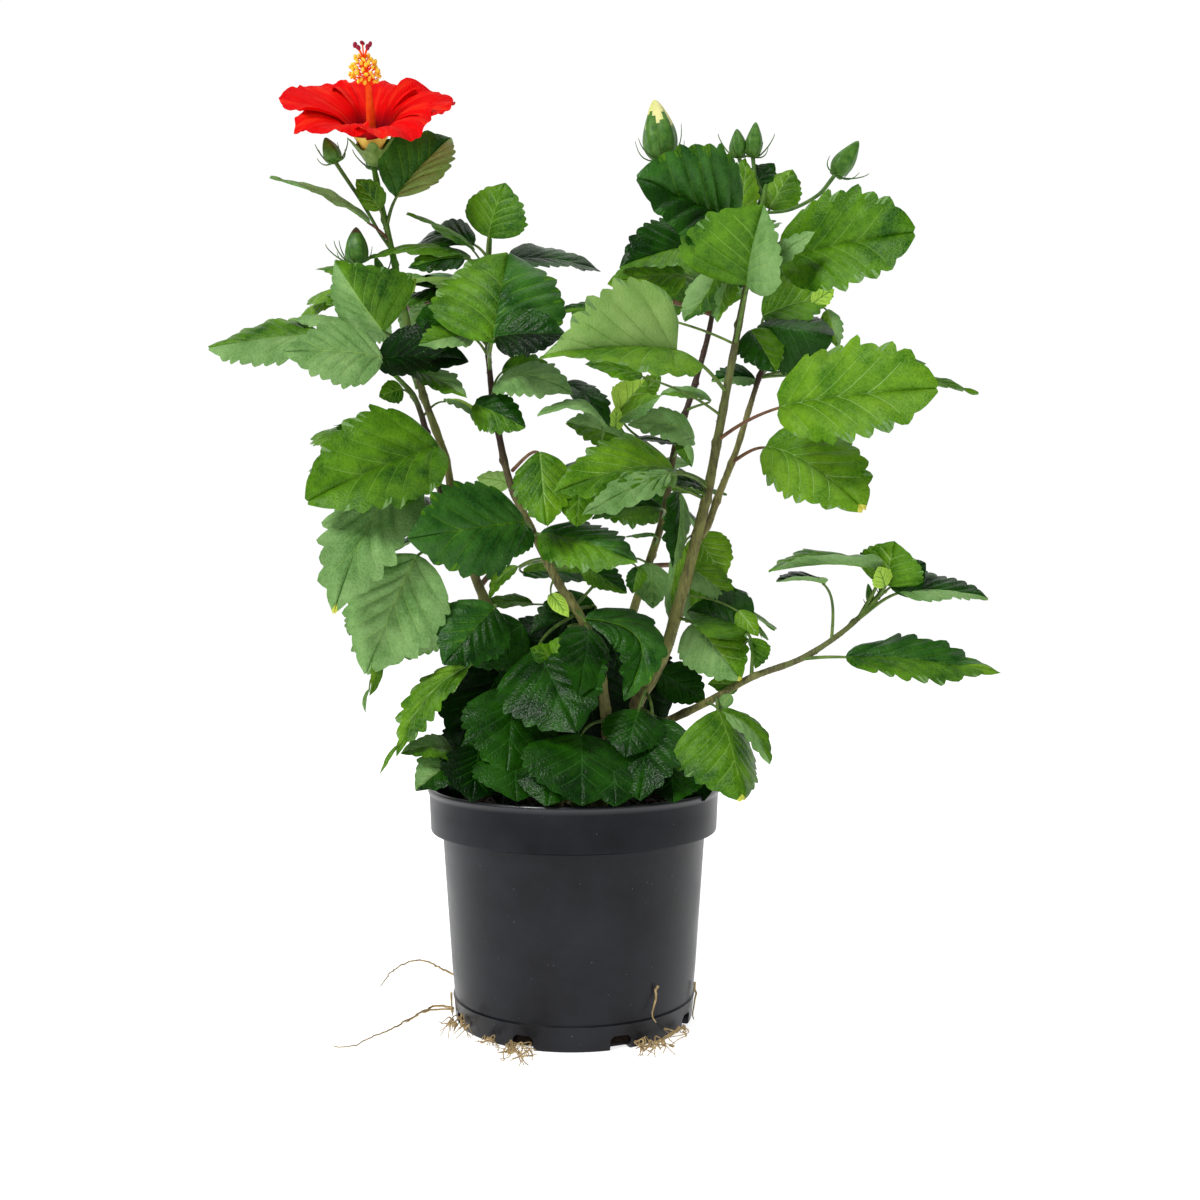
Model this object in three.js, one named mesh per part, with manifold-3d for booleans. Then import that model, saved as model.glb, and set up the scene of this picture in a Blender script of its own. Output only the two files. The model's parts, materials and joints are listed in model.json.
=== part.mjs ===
// Hibiscus shrub in a round nursery pot. Millimetres, +Z up, -Y towards the front, +X to the right.
// The origin is the centre of the pot's flat underside.
//
// Places on the plant are written [x, z, depth]: x and z on an elevation drawn through the pot's axis,
// as an eye at EYE sees it, and the depth behind (+) or before (-) that elevation along the line of sight.

import * as THREE from 'three';
import { mergeVertices } from 'three/addons/utils/BufferGeometryUtils.js';
import Module from 'manifold-3d';

const wasm = await Module();
wasm.setup();

// ---------------------------------------------------------------- driving dimensions

const EYE = new THREE.Vector3(15.2, -790, 252); // the elevation's point of sight

const POT_HEIGHT = 135;
const POT_RIM_RADIUS = 85; // over the rolled lip
const POT_BAND_HEIGHT = 25; // the wider band under the lip
const POT_BAND_RADIUS = 83.2; // the band's lower edge
const POT_SHOULDER_RADIUS = 76.4; // the body just under the band
const POT_FOOT_RADIUS = 69; // the body at the ground
const POT_WALL = 1.8;
const POT_FLOOR = 2.6;
const POT_FOOT_STEP = 14; // height at which the foot's steeper flare ends
const POT_SIDES = 32;
const DRAIN_NOTCHES = 8;
const DRAIN_WIDTH = 12;
const DRAIN_HEIGHT = 8;

const SOIL_TOP = 121;
const SOIL_UNEVEN = 1.6; // rise and fall of the soil's surface
const CLUMP_RADIUS = 26; // level soil where the stems rise

const CLEARANCE = 0.3; // between solids that rest on each other
const GROWTH = 0.5; // how much a solid is swollen before its neighbour is cut back from it
const WALL_ROOM = { inner: 78, foot: 60, lip: 4 }; // the room of the wall: its inner radius, foot and lip
const SOIL_ROOM = 4; // height over the soil that masses are kept clear of

const LIMB_SIDES = 6;
const LIMB_STEP = 18; // length of one straight stretch of a limb
const LIMB_FLARE = 0.45; // extra thickness at the soil, as a share of the radius
const FLARE_LENGTH = 14;
const STALK_RADIUS = 1.9; // the leaf stalks that carry a mass
const STALK_SIDES = 4;
const STALK_STEPS = 3;
const STALK_REACH = 0.5; // how far along a mass its stalks run

const MASS_SIDES = 7;
const MASS_STATIONS = 5;
const LOBE_DEPTH = 0.13; // unevenness of a mass, as a share of its half width

// Limbs: places from the foot to the tip, and the radius at each end.
// A limb with a parent starts inside that parent; the others start at the soil.
const LIMBS = {
  stem_left: {
    from: 4.0, to: 1.3,
    route: [[-12, 121, -4], [-17, 150, -8], [-30, 190, -14], [-46, 228, -20], [-58, 256, -24],
      [-67, 280, -26], [-76, 301, -27], [-82, 320, -28], [-89, 350, -30], [-94, 362, -32], [-101, 370, -34],
      [-110, 379, -36]],
  },
  stem_middle: {
    from: 3.3, to: 1.2,
    route: [[15, 121, -15], [19, 155, -21], [17, 190, -26], [11, 217, -29], [1, 237, -31], [-8, 250, -32],
      [-18, 270, -33], [-28, 290, -33], [-37, 310, -32], [-45, 345, -30], [-49, 373, -28], [-51, 410, -24],
      [-49, 453, -21]],
  },
  stem_right: {
    from: 4.6, to: 1.2,
    route: [[2, 121, -3], [14, 145, -6], [28, 168, -10], [37, 183, -14], [46, 198, -17], [54, 215, -20],
      [60, 235, -22], [66, 256, -24], [70, 272, -25], [78, 305, -25], [85, 342, -24], [92, 380, -22],
      [97, 407, -20], [104, 445, -15], [112, 484, -10]],
  },
  stem_rear_right: {
    from: 3.2, to: 1.4,
    route: [[9, 121, 10], [12, 150, 14], [20, 185, 20], [38, 247, 30], [52, 290, 36], [59, 331, 42],
      [71, 370, 48], [80, 405, 53], [84, 445, 58]],
  },
  stem_rear: {
    from: 2.8, to: 1.3,
    route: [[-4, 121, 11], [-8, 160, 24], [-9, 205, 42], [-7, 255, 62], [0, 296, 78], [4, 318, 86]],
  },
  branch_flower: {
    from: 2.5, to: 1.2, parent: 'stem_left',
    route: [[-62, 267, -25], [-66, 285, -17], [-71, 303, -13], [-75, 325, -13], [-82, 345, -15],
      [-88, 362, -17], [-94, 385, -18], [-99, 412, -18], [-107, 450, -20], [-112, 472, -20],
      [-116.5, 494, -20]],
  },
  branch_right: {
    from: 2.3, to: 1.1, parent: 'stem_right',
    route: [[74, 279, -25], [79, 288, -18], [84, 302, -13], [90, 317, -8], [95, 330, -4], [99, 343, 0],
      [107, 369, 8], [117, 398, 15], [124, 418, 18]],
  },
  branch_low: {
    from: 2.8, to: 1.2, parent: 'stem_right',
    route: [[9, 137, -5], [21, 147, -13], [36, 160, -24], [50, 169, -31], [77, 182, -37], [104, 197, -43],
      [134, 208.5, -47], [160, 226, -49], [174, 240, -50], [181, 249, -50]],
  },
};

// Masses of leaves: the limb that carries each and the height of its stalk there, the two ends of its
// long axis, and its half width across that axis (wide, seen from the front) and through it (deep).
const MASSES = [
  ['foliage_left_top', 'branch_flower', 398, [-86, 398, -40], [-151, 430, -60], 27, 22],
  ['foliage_left_reach', 'stem_left', 376, [-112, 385, -42], [-214, 392, -24], 16, 26],
  ['foliage_left_spur', 'branch_flower', 450, [-118, 461, -32], [-177, 488, -46], 8, 16],
  ['foliage_bloom_shoot', 'branch_flower', 463, [-107, 470, -26], [-71, 512, -8], 20, 15],
  ['foliage_left_shoulder', 'stem_left', 342, [-89, 338, -44], [-158, 306, -72], 22, 16],
  ['foliage_left_hanging', 'stem_left', 318, [-92, 322, -66], [-142, 234, -100], 22, 14],
  ['foliage_left_low', 'stem_left', 292, [-93, 270, -48], [-123, 187, -66], 27, 15],
  ['foliage_left_front', 'stem_middle', 288, [-34, 289, -50], [-98, 278, -90], 25, 16],
  ['foliage_middle_top', 'stem_middle', 396, [-86, 412, -52], [-3, 406, -64], 29, 18],
  ['foliage_middle_left', 'stem_middle', 432, [-58, 440, -18], [-120, 446, -30], 16, 17],
  ['foliage_middle_tip', 'stem_middle', 449, [-49, 453, -22], [-41, 487, -26], 17, 10],
  ['foliage_middle_wing', 'stem_middle', 443, [-39, 443, -12], [17, 437, 8], 7, 17],
  ['foliage_middle_low', 'stem_middle', 364, [-41, 376, -38], [21, 346, -56], 16, 17],
  ['foliage_centre', 'stem_right', 304, [59, 320, -46], [-34, 308, -96], 23, 18],
  ['foliage_centre_low', 'stem_middle', 278, [-17, 281, -50], [39, 266, -88], 11, 15],
  ['foliage_centre_high', 'stem_rear_right', 338, [60, 352, 30], [-4, 346, 20], 17, 17],
  ['foliage_waist', 'stem_middle', 247, [-36, 246, -6], [32, 250, 8], 14, 20],
  ['foliage_right_top', 'stem_right', 464, [100, 472, -28], [33, 489, -62], 20, 17],
  ['foliage_right_crest', 'stem_right', 478, [110, 476, -4], [130, 494, 8], 17, 14],
  ['foliage_right_shoulder', 'stem_rear_right', 430, [76, 442, 46], [19, 428, 30], 22, 20],
  ['foliage_right_pale', 'stem_right', 424, [100, 426, -40], [98, 470, -76], 37, 14],
  ['foliage_right_crown', 'stem_right', 436, [122, 441, -42], [201, 457, -82], 26, 15],
  ['foliage_inner_right', 'stem_right', 394, [84, 396, -48], [-20, 388, -112], 27, 15],
  ['foliage_right_mid', 'branch_right', 394, [107, 402, -4], [157, 402, -24], 29, 20],
  ['foliage_right_side', 'stem_right', 336, [120, 357, -50], [212, 367, -98], 29, 15],
  ['foliage_right_lower', 'branch_right', 322, [112, 330, -22], [172, 295, -62], 22, 13],
  ['foliage_right_low', 'stem_right', 257, [66, 280, 4], [98, 196, -8], 25, 18],
  ['foliage_branch_upper', 'branch_low', 232, [243, 244, -58], [114, 260, -68], 13, 24],
  ['foliage_branch_lower', 'branch_low', 207, [158, 209, -54], [250, 200, -74], 13, 20],
  ['foliage_pot_right', 'branch_low', 180, [83, 180, -64], [99, 126, -90], 29, 16],
  ['foliage_pot_front', 'stem_right', 150, [14, 164, -46], [20, 126, -76], 36, 15],
  ['foliage_pot_left', 'stem_left', 160, [-42, 178, -46], [-34, 126, -70], 21, 16],
  ['foliage_pot_edge', 'stem_left', 196, [-60, 192, -24], [-108, 140, -34], 18, 18],
  ['foliage_base_left', 'stem_left', 222, [-34, 232, -38], [-78, 204, -58], 20, 16],
  ['foliage_base_centre', 'stem_middle', 214, [4, 232, -46], [-26, 166, -84], 27, 17],
  ['foliage_base_right', 'stem_middle', 236, [12, 244, -50], [36, 184, -76], 17, 13],
  ['foliage_rear_low', 'stem_rear', 190, [-24, 214, 60], [8, 146, 122], 46, 30],
  ['foliage_rear_mid', 'stem_rear', 300, [-28, 306, 92], [60, 302, 124], 24, 46],
  ['foliage_rear_left', 'stem_left', 250, [-38, 276, 18], [-88, 282, 92], 20, 32],
  ['foliage_rear_top_left', 'stem_middle', 410, [-16, 412, 40], [-96, 416, 122], 24, 40],
  ['foliage_rear_top_right', 'stem_rear_right', 420, [26, 430, 84], [118, 442, 116], 33, 42],
  ['foliage_rear_right', 'branch_right', 368, [104, 374, 52], [238, 367, 38], 19, 40],
  ['foliage_rear_crest_left', 'branch_flower', 412, [-98, 412, 16], [-136, 414, 88], 19, 28],
  ['foliage_rear_shoulder_left', 'stem_left', 330, [-92, 334, 2], [-142, 322, 80], 20, 28],
  ['foliage_rear_side_right', 'stem_rear_right', 262, [62, 262, 48], [92, 226, 112], 22, 30],
  ['foliage_rear_low_left', 'stem_left', 236, [-62, 232, 20], [-116, 228, 84], 18, 26],
].map(([name, limb, height, from, to, wide, deep]) => ({ name, limb, height, from, to, wide, deep }));

// The bloom: five petals in a shallow funnel, facing forwards and up, with a column of stamens.
const BLOOM = {
  base: [-116.5, 494.8, -20], // where the flower's stalk meets the calyx
  tilt: 41, // degrees that the funnel leans forwards from upright
  turn: 1, // degrees that it leans sideways
  radius: 51,
  calyxHeight: 17,
  funnelHeight: 25,
  petals: 5,
  petalGap: 0.13, // how far the edge draws in between petals, as a share of the radius
  edgeWave: 3.4,
  sides: 20,
  column: 53, // from the throat to the stigma
  antherRadius: 8.5,
  spikeSides: 8,
};

// ---------------------------------------------------------------- finishes

function finish(hex, roughness) {
  return new THREE.MeshStandardMaterial({ color: new THREE.Color(hex), roughness, metalness: 0 });
}

const FINISHES = {
  pot: () => finish('#1d1e21', 0.5),
  soil: () => finish('#17110c', 0.95),
  bark: () => finish('#6d5a3b', 0.75),
  leaf: () => finish('#2f6b18', 0.45),
  petal: () => finish('#dc1626', 0.5),
};

// ---------------------------------------------------------------- geometry helpers

function spot([x, z, depth]) {
  const share = (depth - EYE.y) / -EYE.y;
  return new THREE.Vector3(x, 0, z).sub(EYE).multiplyScalar(share).add(EYE);
}

// A closed skin over rings of points that run anticlockwise about the way from start to end.
function closedLoft(start, rings, end) {
  const sides = rings[0].length;
  const points = [start, ...rings.flat(), end];
  const at = (ring, side) => 1 + ring * sides + (side % sides);
  const index = [];
  for (let side = 0; side < sides; side++) {
    index.push(0, at(0, side + 1), at(0, side));
    for (let ring = 0; ring < rings.length - 1; ring++) {
      index.push(at(ring, side), at(ring, side + 1), at(ring + 1, side + 1));
      index.push(at(ring, side), at(ring + 1, side + 1), at(ring + 1, side));
    }
    index.push(points.length - 1, at(rings.length - 1, side), at(rings.length - 1, side + 1));
  }
  const geometry = new THREE.BufferGeometry().setFromPoints(points);
  geometry.setIndex(index);
  return geometry;
}

function solid(geometry) {
  const bare = geometry.clone();
  bare.deleteAttribute('normal');
  bare.deleteAttribute('uv');
  const merged = mergeVertices(bare, 1e-4);
  return new wasm.Manifold(new wasm.Mesh({
    numProp: 3,
    vertProperties: new Float32Array(merged.attributes.position.array),
    triVerts: new Uint32Array(merged.index.array),
  }));
}

function geometryOf(manifold) {
  const mesh = manifold.getMesh();
  const geometry = new THREE.BufferGeometry();
  geometry.setAttribute('position', new THREE.BufferAttribute(new Float32Array(mesh.vertProperties), 3));
  geometry.setIndex(new THREE.BufferAttribute(new Uint32Array(mesh.triVerts), 1));
  return geometry;
}

function largestPiece(manifold) {
  const pieces = manifold.decompose();
  return pieces.reduce((best, piece) => (piece.volume() > best.volume() ? piece : best));
}

function join(manifolds) {
  return manifolds.reduce((whole, part) => whole.add(part));
}

// Phases of a mass's unevenness, dealt out evenly by its place in the list.
function phases(order) {
  const golden = Math.PI * (3 - Math.sqrt(5));
  return { slow: order * golden, quick: order * golden * 2.3 + 1 };
}

// ---------------------------------------------------------------- limbs and stalks

function taperedTube(curve, { steps, sides, radiusAt }) {
  const frames = curve.computeFrenetFrames(steps);
  const rings = [];
  for (let step = 0; step <= steps; step++) {
    const centre = curve.getPointAt(step / steps);
    const radius = radiusAt(step / steps);
    const ring = [];
    for (let side = 0; side < sides; side++) {
      const angle = (side / sides) * 2 * Math.PI;
      ring.push(centre.clone()
        .addScaledVector(frames.normals[step], radius * Math.cos(angle))
        .addScaledVector(frames.binormals[step], radius * Math.sin(angle)));
    }
    rings.push(ring);
  }
  return closedLoft(curve.getPointAt(0), rings, curve.getPointAt(1));
}

function limbCurve({ route, parent }) {
  const points = route.map(spot);
  if (!parent) points.unshift(points[0].clone().setZ(SOIL_TOP - FLARE_LENGTH));
  return new THREE.CatmullRomCurve3(points, false, 'centripetal');
}

function limbSolid(limb, swell = 0) {
  const curve = limbCurve(limb);
  const length = curve.getLength();
  const radiusAt = (share) => {
    const aboveSoil = Math.max(0, share * length - FLARE_LENGTH);
    const flare = limb.parent ? 0 : LIMB_FLARE * Math.exp(-aboveSoil / FLARE_LENGTH);
    return (limb.to + (limb.from - limb.to) * (1 - share) ** 0.9) * (1 + flare) + swell;
  };
  return solid(taperedTube(curve, { steps: Math.round(length / LIMB_STEP), sides: LIMB_SIDES, radiusAt }));
}

// The point of a limb's middle line that stands at a height of the elevation.
function limbPoint(limb, height) {
  const samples = limbCurve(limb).getSpacedPoints(300);
  const rise = (point) => EYE.z + ((point.z - EYE.z) * -EYE.y) / (point.y - EYE.y);
  return samples.reduce((best, point) => (
    Math.abs(rise(point) - height) < Math.abs(rise(best) - height) ? point : best));
}

// ---------------------------------------------------------------- masses of leaves

function massAxis({ from, to }) {
  const start = spot(from);
  const end = spot(to);
  return { start, end, pointAt: (share) => start.clone().lerp(end, share) };
}

// Half width along the axis: full near the stalks, drawn out to a point at the leaf tips.
function fullness(share) {
  const peak = 0.42;
  return (share / peak) ** 0.5 * ((1 - share) / (1 - peak)) ** (0.5 * (1 - peak) / peak);
}

function massSolid(mass, order, swell = 0) {
  const { start, end, pointAt } = massAxis(mass);
  const along = end.clone().sub(start).normalize();
  const sight = new THREE.Vector3(0, 1, 0);
  const across = new THREE.Vector3().crossVectors(sight, along).normalize();
  const through = new THREE.Vector3().crossVectors(along, across);
  const { slow, quick } = phases(order);
  const rings = [];
  for (let station = 1; station <= MASS_STATIONS; station++) {
    const share = 0.5 - 0.5 * Math.cos((Math.PI * station) / (MASS_STATIONS + 1));
    const ring = [];
    for (let side = 0; side < MASS_SIDES; side++) {
      const angle = (side / MASS_SIDES) * 2 * Math.PI;
      const lobes = Math.sin(3 * angle + slow + 5 * share) + 0.7 * Math.sin(2 * angle + quick - 7 * share);
      const uneven = 1 + LOBE_DEPTH * lobes;
      ring.push(pointAt(share)
        .addScaledVector(across, (mass.wide * uneven * fullness(share) + swell) * Math.cos(angle))
        .addScaledVector(through, (mass.deep * uneven * fullness(share) + swell) * Math.sin(angle)));
    }
    rings.push(ring);
  }
  return solid(closedLoft(start.addScaledVector(along, -swell), rings, end.addScaledVector(along, swell)));
}

function stalkSolid(mass, swell = 0) {
  const { start, pointAt } = massAxis(mass);
  const foot = limbPoint(LIMBS[mass.limb], mass.height);
  const curve = new THREE.CatmullRomCurve3([foot, start, pointAt(STALK_REACH)]);
  const radiusAt = () => STALK_RADIUS + swell;
  return solid(taperedTube(curve, { steps: STALK_STEPS, sides: STALK_SIDES, radiusAt }));
}

// ---------------------------------------------------------------- pot and soil

function potSolid() {
  const bandFoot = POT_HEIGHT - POT_BAND_HEIGHT;
  const inner = POT_WALL;
  const profile = [
    [0, 0], [POT_FOOT_RADIUS - 1, 0], [POT_FOOT_RADIUS, 1.5], [POT_FOOT_RADIUS + 1.2, POT_FOOT_STEP],
    [POT_SHOULDER_RADIUS, bandFoot - 2], [POT_BAND_RADIUS, bandFoot],
    [POT_BAND_RADIUS + 0.9, POT_HEIGHT - 5], [POT_RIM_RADIUS, POT_HEIGHT - 3.6],
    [POT_RIM_RADIUS, POT_HEIGHT - 1], [POT_RIM_RADIUS - 1, POT_HEIGHT],
    [POT_BAND_RADIUS + 0.9 - inner, POT_HEIGHT],
    [POT_BAND_RADIUS - inner, bandFoot + 2.4], [POT_SHOULDER_RADIUS - inner, bandFoot + 0.4],
    [POT_FOOT_RADIUS + 0.2 - inner, POT_FLOOR], [0, POT_FLOOR],
  ].map(([radius, height]) => new THREE.Vector2(radius, height));
  const lathe = new THREE.LatheGeometry(profile, POT_SIDES);
  lathe.rotateX(Math.PI / 2); // the lathe turns about Y; the pot stands along Z
  let pot = solid(lathe);
  for (let notch = 0; notch < DRAIN_NOTCHES; notch++) {
    const cutter = new THREE.BoxGeometry(14, DRAIN_WIDTH, 2 * DRAIN_HEIGHT);
    cutter.translate(POT_FOOT_RADIUS, 0, 0);
    cutter.rotateZ(((notch + 0.5) / DRAIN_NOTCHES) * 2 * Math.PI);
    pot = pot.subtract(solid(cutter));
  }
  return pot;
}

function soilSolid() {
  const bandFoot = POT_HEIGHT - POT_BAND_HEIGHT;
  const inset = POT_WALL + CLEARANCE + 0.3;
  const uneven = (angle, radius) => (radius <= CLUMP_RADIUS ? 0
    : SOIL_UNEVEN * (Math.sin(3 * angle + radius / 9) + 0.6 * Math.sin(7 * angle - radius / 5)) - 0.4);
  const levels = [
    [POT_FOOT_RADIUS - inset, POT_FLOOR + CLEARANCE], [POT_SHOULDER_RADIUS - inset, bandFoot + 1.2],
    [POT_BAND_RADIUS - inset - 0.6, bandFoot + 5], [POT_BAND_RADIUS - inset, SOIL_TOP - 3],
  ];
  const surface = [66, 46, CLUMP_RADIUS];
  const ringAt = (radius, heightAt) => Array.from({ length: POT_SIDES / 2 }, (_, side) => {
    const angle = (side / (POT_SIDES / 2)) * 2 * Math.PI;
    return new THREE.Vector3(radius * Math.cos(angle), radius * Math.sin(angle), heightAt(angle));
  });
  const rings = [
    ...levels.map(([radius, height]) => ringAt(radius, () => height)),
    ...surface.map((radius) => ringAt(radius, (angle) => SOIL_TOP + uneven(angle, radius))),
  ];
  return solid(closedLoft(
    new THREE.Vector3(0, 0, POT_FLOOR + CLEARANCE), rings, new THREE.Vector3(0, 0, SOIL_TOP)));
}

// The room that the rim and the soil take up, from which the masses are cut back.
function potRoom() {
  const { inner, foot, lip } = WALL_ROOM;
  const outer = POT_RIM_RADIUS + GROWTH;
  const top = POT_HEIGHT + GROWTH;
  const level = SOIL_TOP + SOIL_ROOM;
  const rim = [
    [inner, foot], [outer, foot], [outer, top], [POT_RIM_RADIUS - lip, top], [inner, level], [inner, foot],
  ];
  const lathe = new THREE.LatheGeometry(rim.map(([r, z]) => new THREE.Vector2(r, z)), POT_SIDES);
  lathe.rotateX(Math.PI / 2);
  const ground = new THREE.CylinderGeometry(POT_RIM_RADIUS - 1, POT_RIM_RADIUS - 1, level, POT_SIDES);
  ground.rotateX(Math.PI / 2);
  ground.translate(0, 0, level / 2);
  return solid(lathe).add(solid(ground));
}

// ---------------------------------------------------------------- bloom

function bloomSolid() {
  const { radius, sides, petals, petalGap, edgeWave, calyxHeight, funnelHeight } = BLOOM;
  const ringAt = (share, height, wave = 0) => Array.from({ length: sides }, (_, side) => {
    const angle = (side / sides) * 2 * Math.PI;
    const reach = radius * share * (1 + petalGap * share * (Math.cos(petals * angle) - 1) / 2);
    const lift = wave * Math.sin(2 * petals * angle + 0.8);
    return new THREE.Vector3(reach * Math.cos(angle), reach * Math.sin(angle), height + lift);
  });
  const funnel = closedLoft(new THREE.Vector3(0, 0, CLEARANCE + 0.2), [
    ringAt(0.1, 1), ringAt(0.17, calyxHeight * 0.6), ringAt(0.2, calyxHeight),
    ringAt(0.5, calyxHeight + funnelHeight * 0.45),
    ringAt(0.8, calyxHeight + funnelHeight * 0.72, edgeWave / 2),
    ringAt(1, calyxHeight + funnelHeight * 0.8, edgeWave),
    ringAt(0.98, calyxHeight + funnelHeight * 0.92, edgeWave),
    ringAt(0.5, calyxHeight + funnelHeight * 0.62), ringAt(0.14, calyxHeight + funnelHeight * 0.2),
  ], new THREE.Vector3(0, 0, calyxHeight + 3));
  const foot = calyxHeight + 1;
  const spikeGirths = [[0, 2.2], [0.42, 2], [0.5, BLOOM.antherRadius * 0.7], [0.68, BLOOM.antherRadius],
    [0.84, BLOOM.antherRadius * 0.8], [0.9, 1.8], [1, 1.4]]; // along the column, from throat to stigma
  const spikeRing = ([share, girth]) => Array.from({ length: BLOOM.spikeSides }, (_, side) => {
    const angle = (side / BLOOM.spikeSides) * 2 * Math.PI;
    return new THREE.Vector3(girth * Math.cos(angle), girth * Math.sin(angle), foot + share * BLOOM.column);
  });
  const tip = new THREE.Vector3(0, 0, foot + BLOOM.column + 1);
  const spike = closedLoft(new THREE.Vector3(0, 0, foot), spikeGirths.map(spikeRing), tip);
  const lean = new THREE.Matrix4()
    .makeRotationX(THREE.MathUtils.degToRad(BLOOM.tilt))
    .premultiply(new THREE.Matrix4().makeRotationY(THREE.MathUtils.degToRad(BLOOM.turn)))
    .setPosition(spot(BLOOM.base));
  return solid(funnel.applyMatrix4(lean)).add(solid(spike.applyMatrix4(lean)));
}

// ---------------------------------------------------------------- assembly

const plant = new THREE.Group();

function add(name, manifold, material) {
  const mesh = new THREE.Mesh(geometryOf(manifold), material);
  mesh.name = name;
  plant.add(mesh);
}

// Everything under the soil's surface, which the limbs are cut off at.
function belowGround() {
  const slab = new THREE.BoxGeometry(400, 400, 2 * SOIL_TOP);
  slab.translate(0, 0, CLEARANCE);
  return solid(slab);
}

function addPot() {
  add('pot', potSolid(), FINISHES.pot());
  add('soil', soilSolid(), FINISHES.soil());
}

function addLimbs() {
  const ground = belowGround();
  for (const [name, limb] of Object.entries(LIMBS)) {
    let body = limbSolid(limb);
    if (limb.parent) body = body.subtract(limbSolid(LIMBS[limb.parent], CLEARANCE));
    add(name, largestPiece(body.subtract(ground)), FINISHES.bark());
  }
}

// Each mass is a pad of leaves joined to its stalks, cut back from the limbs, the pot, the other
// masses' stalks and the masses before it in the list.
function addMasses() {
  const limbRoom = join(Object.values(LIMBS).map((limb) => limbSolid(limb, GROWTH)));
  const stalkRoom = MASSES.map((mass) => stalkSolid(mass, GROWTH));
  let taken = limbRoom.add(potRoom());
  let stalksTaken = limbRoom;
  MASSES.forEach((mass, order) => {
    const stalk = stalkSolid(mass).subtract(stalksTaken);
    const others = join(stalkRoom.filter((_, index) => index !== order));
    const pad = massSolid(mass, order).subtract(taken).subtract(others);
    add(mass.name, largestPiece(pad.add(stalk)), FINISHES.leaf());
    stalksTaken = stalksTaken.add(stalkRoom[order]);
    taken = taken.add(massSolid(mass, order, GROWTH));
  });
}

addPot();
addLimbs();
add('bloom', bloomSolid(), FINISHES.petal());
addMasses();

export default plant;
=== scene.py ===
"""A hibiscus shrub in its nursery pot: stems, leaves, buds, one open flower, compost and stray roots.

Sizes in the tables are millimetres. A place on the plant is written (x, z, depth): x and z on an elevation
drawn through the pot's axis, as seen from EYE, and the depth behind (+) or before (-) that elevation along
the line of sight. Meshes are made in metres.
"""

import json
import logging
import math
from dataclasses import dataclass, field
from enum import Enum

import bpy
import numpy as np
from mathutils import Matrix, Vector

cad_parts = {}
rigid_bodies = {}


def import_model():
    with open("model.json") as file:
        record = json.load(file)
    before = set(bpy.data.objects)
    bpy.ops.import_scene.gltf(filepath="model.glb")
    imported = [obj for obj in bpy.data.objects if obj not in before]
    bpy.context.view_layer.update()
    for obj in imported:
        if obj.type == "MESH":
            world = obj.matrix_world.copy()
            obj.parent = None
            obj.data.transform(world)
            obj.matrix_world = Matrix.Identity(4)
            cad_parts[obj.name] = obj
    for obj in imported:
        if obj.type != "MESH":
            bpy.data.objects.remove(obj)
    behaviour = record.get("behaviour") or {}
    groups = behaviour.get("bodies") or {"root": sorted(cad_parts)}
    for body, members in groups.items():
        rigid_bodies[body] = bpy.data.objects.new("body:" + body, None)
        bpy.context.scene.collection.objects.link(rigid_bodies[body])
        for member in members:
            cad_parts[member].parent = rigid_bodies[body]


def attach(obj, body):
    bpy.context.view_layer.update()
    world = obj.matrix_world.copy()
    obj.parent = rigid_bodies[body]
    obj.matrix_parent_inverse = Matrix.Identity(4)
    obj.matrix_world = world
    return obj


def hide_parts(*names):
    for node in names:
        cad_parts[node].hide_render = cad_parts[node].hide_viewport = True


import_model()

Array = np.ndarray
Colour = tuple[float, float, float]
Material = bpy.types.Material
Object = bpy.types.Object
Rng = np.random.Generator
Socket = bpy.types.NodeSocket

LOG = logging.getLogger("hibiscus")
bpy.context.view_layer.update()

MM = 0.001
EYE = np.array((15.2, -790.0, 252.0))
UP = np.array((0.0, 0.0, 1.0))
GOLDEN_ANGLE = math.radians(137.5)
SEED = 20


class Tint(Enum):
    """The leaf colours, named by the letters that the leaf table uses. Beside the leaves' own greens they
    hold painted light and shade: SHADED is painted shade, DEEP is dark green deepened by painted shade,
    BRIGHT and PALE are greens lightened by painted light and sheen.
    """

    SHADED = "N"
    DEEP = "D"
    MIDDLE = "M"
    GREEN = "G"
    BRIGHT = "B"
    PALE = "P"
    YOUNG = "Y"
    UNDERSIDE = "U"
    VEIN = "V"
    DIM_VEIN = "W"
    PALE_VEIN = "L"
    WITHERED = "E"


TINT_ORDER = list(Tint)
TINT_SLOTS = {tint.value: index for index, tint in enumerate(TINT_ORDER)}


class Slot(str, Enum):
    """The material slots of the record."""

    POT = "pot_plastic"
    COMPOST = "compost"
    BARK = "bark"
    LEAF = "leaf"
    PETAL = "petal"


# ---------- small helpers


def unit(vector: Array) -> Array:
    """Return the vector at length one."""
    return vector / max(float(np.linalg.norm(vector)), 1e-9)


def place(spots: tuple) -> Array:
    """Turn places on the elevation into points of the row frame.

    Args:
        spots: x, z and depth of one place, or rows of them, in millimetres.

    Returns:
        The point or points, in millimetres.
    """
    x, z, depth = np.moveaxis(np.array(spots, float), -1, 0)
    return EYE + (np.stack((x, x * 0, z), axis=-1) - EYE) * (1.0 - depth / EYE[1])[..., None]


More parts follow.
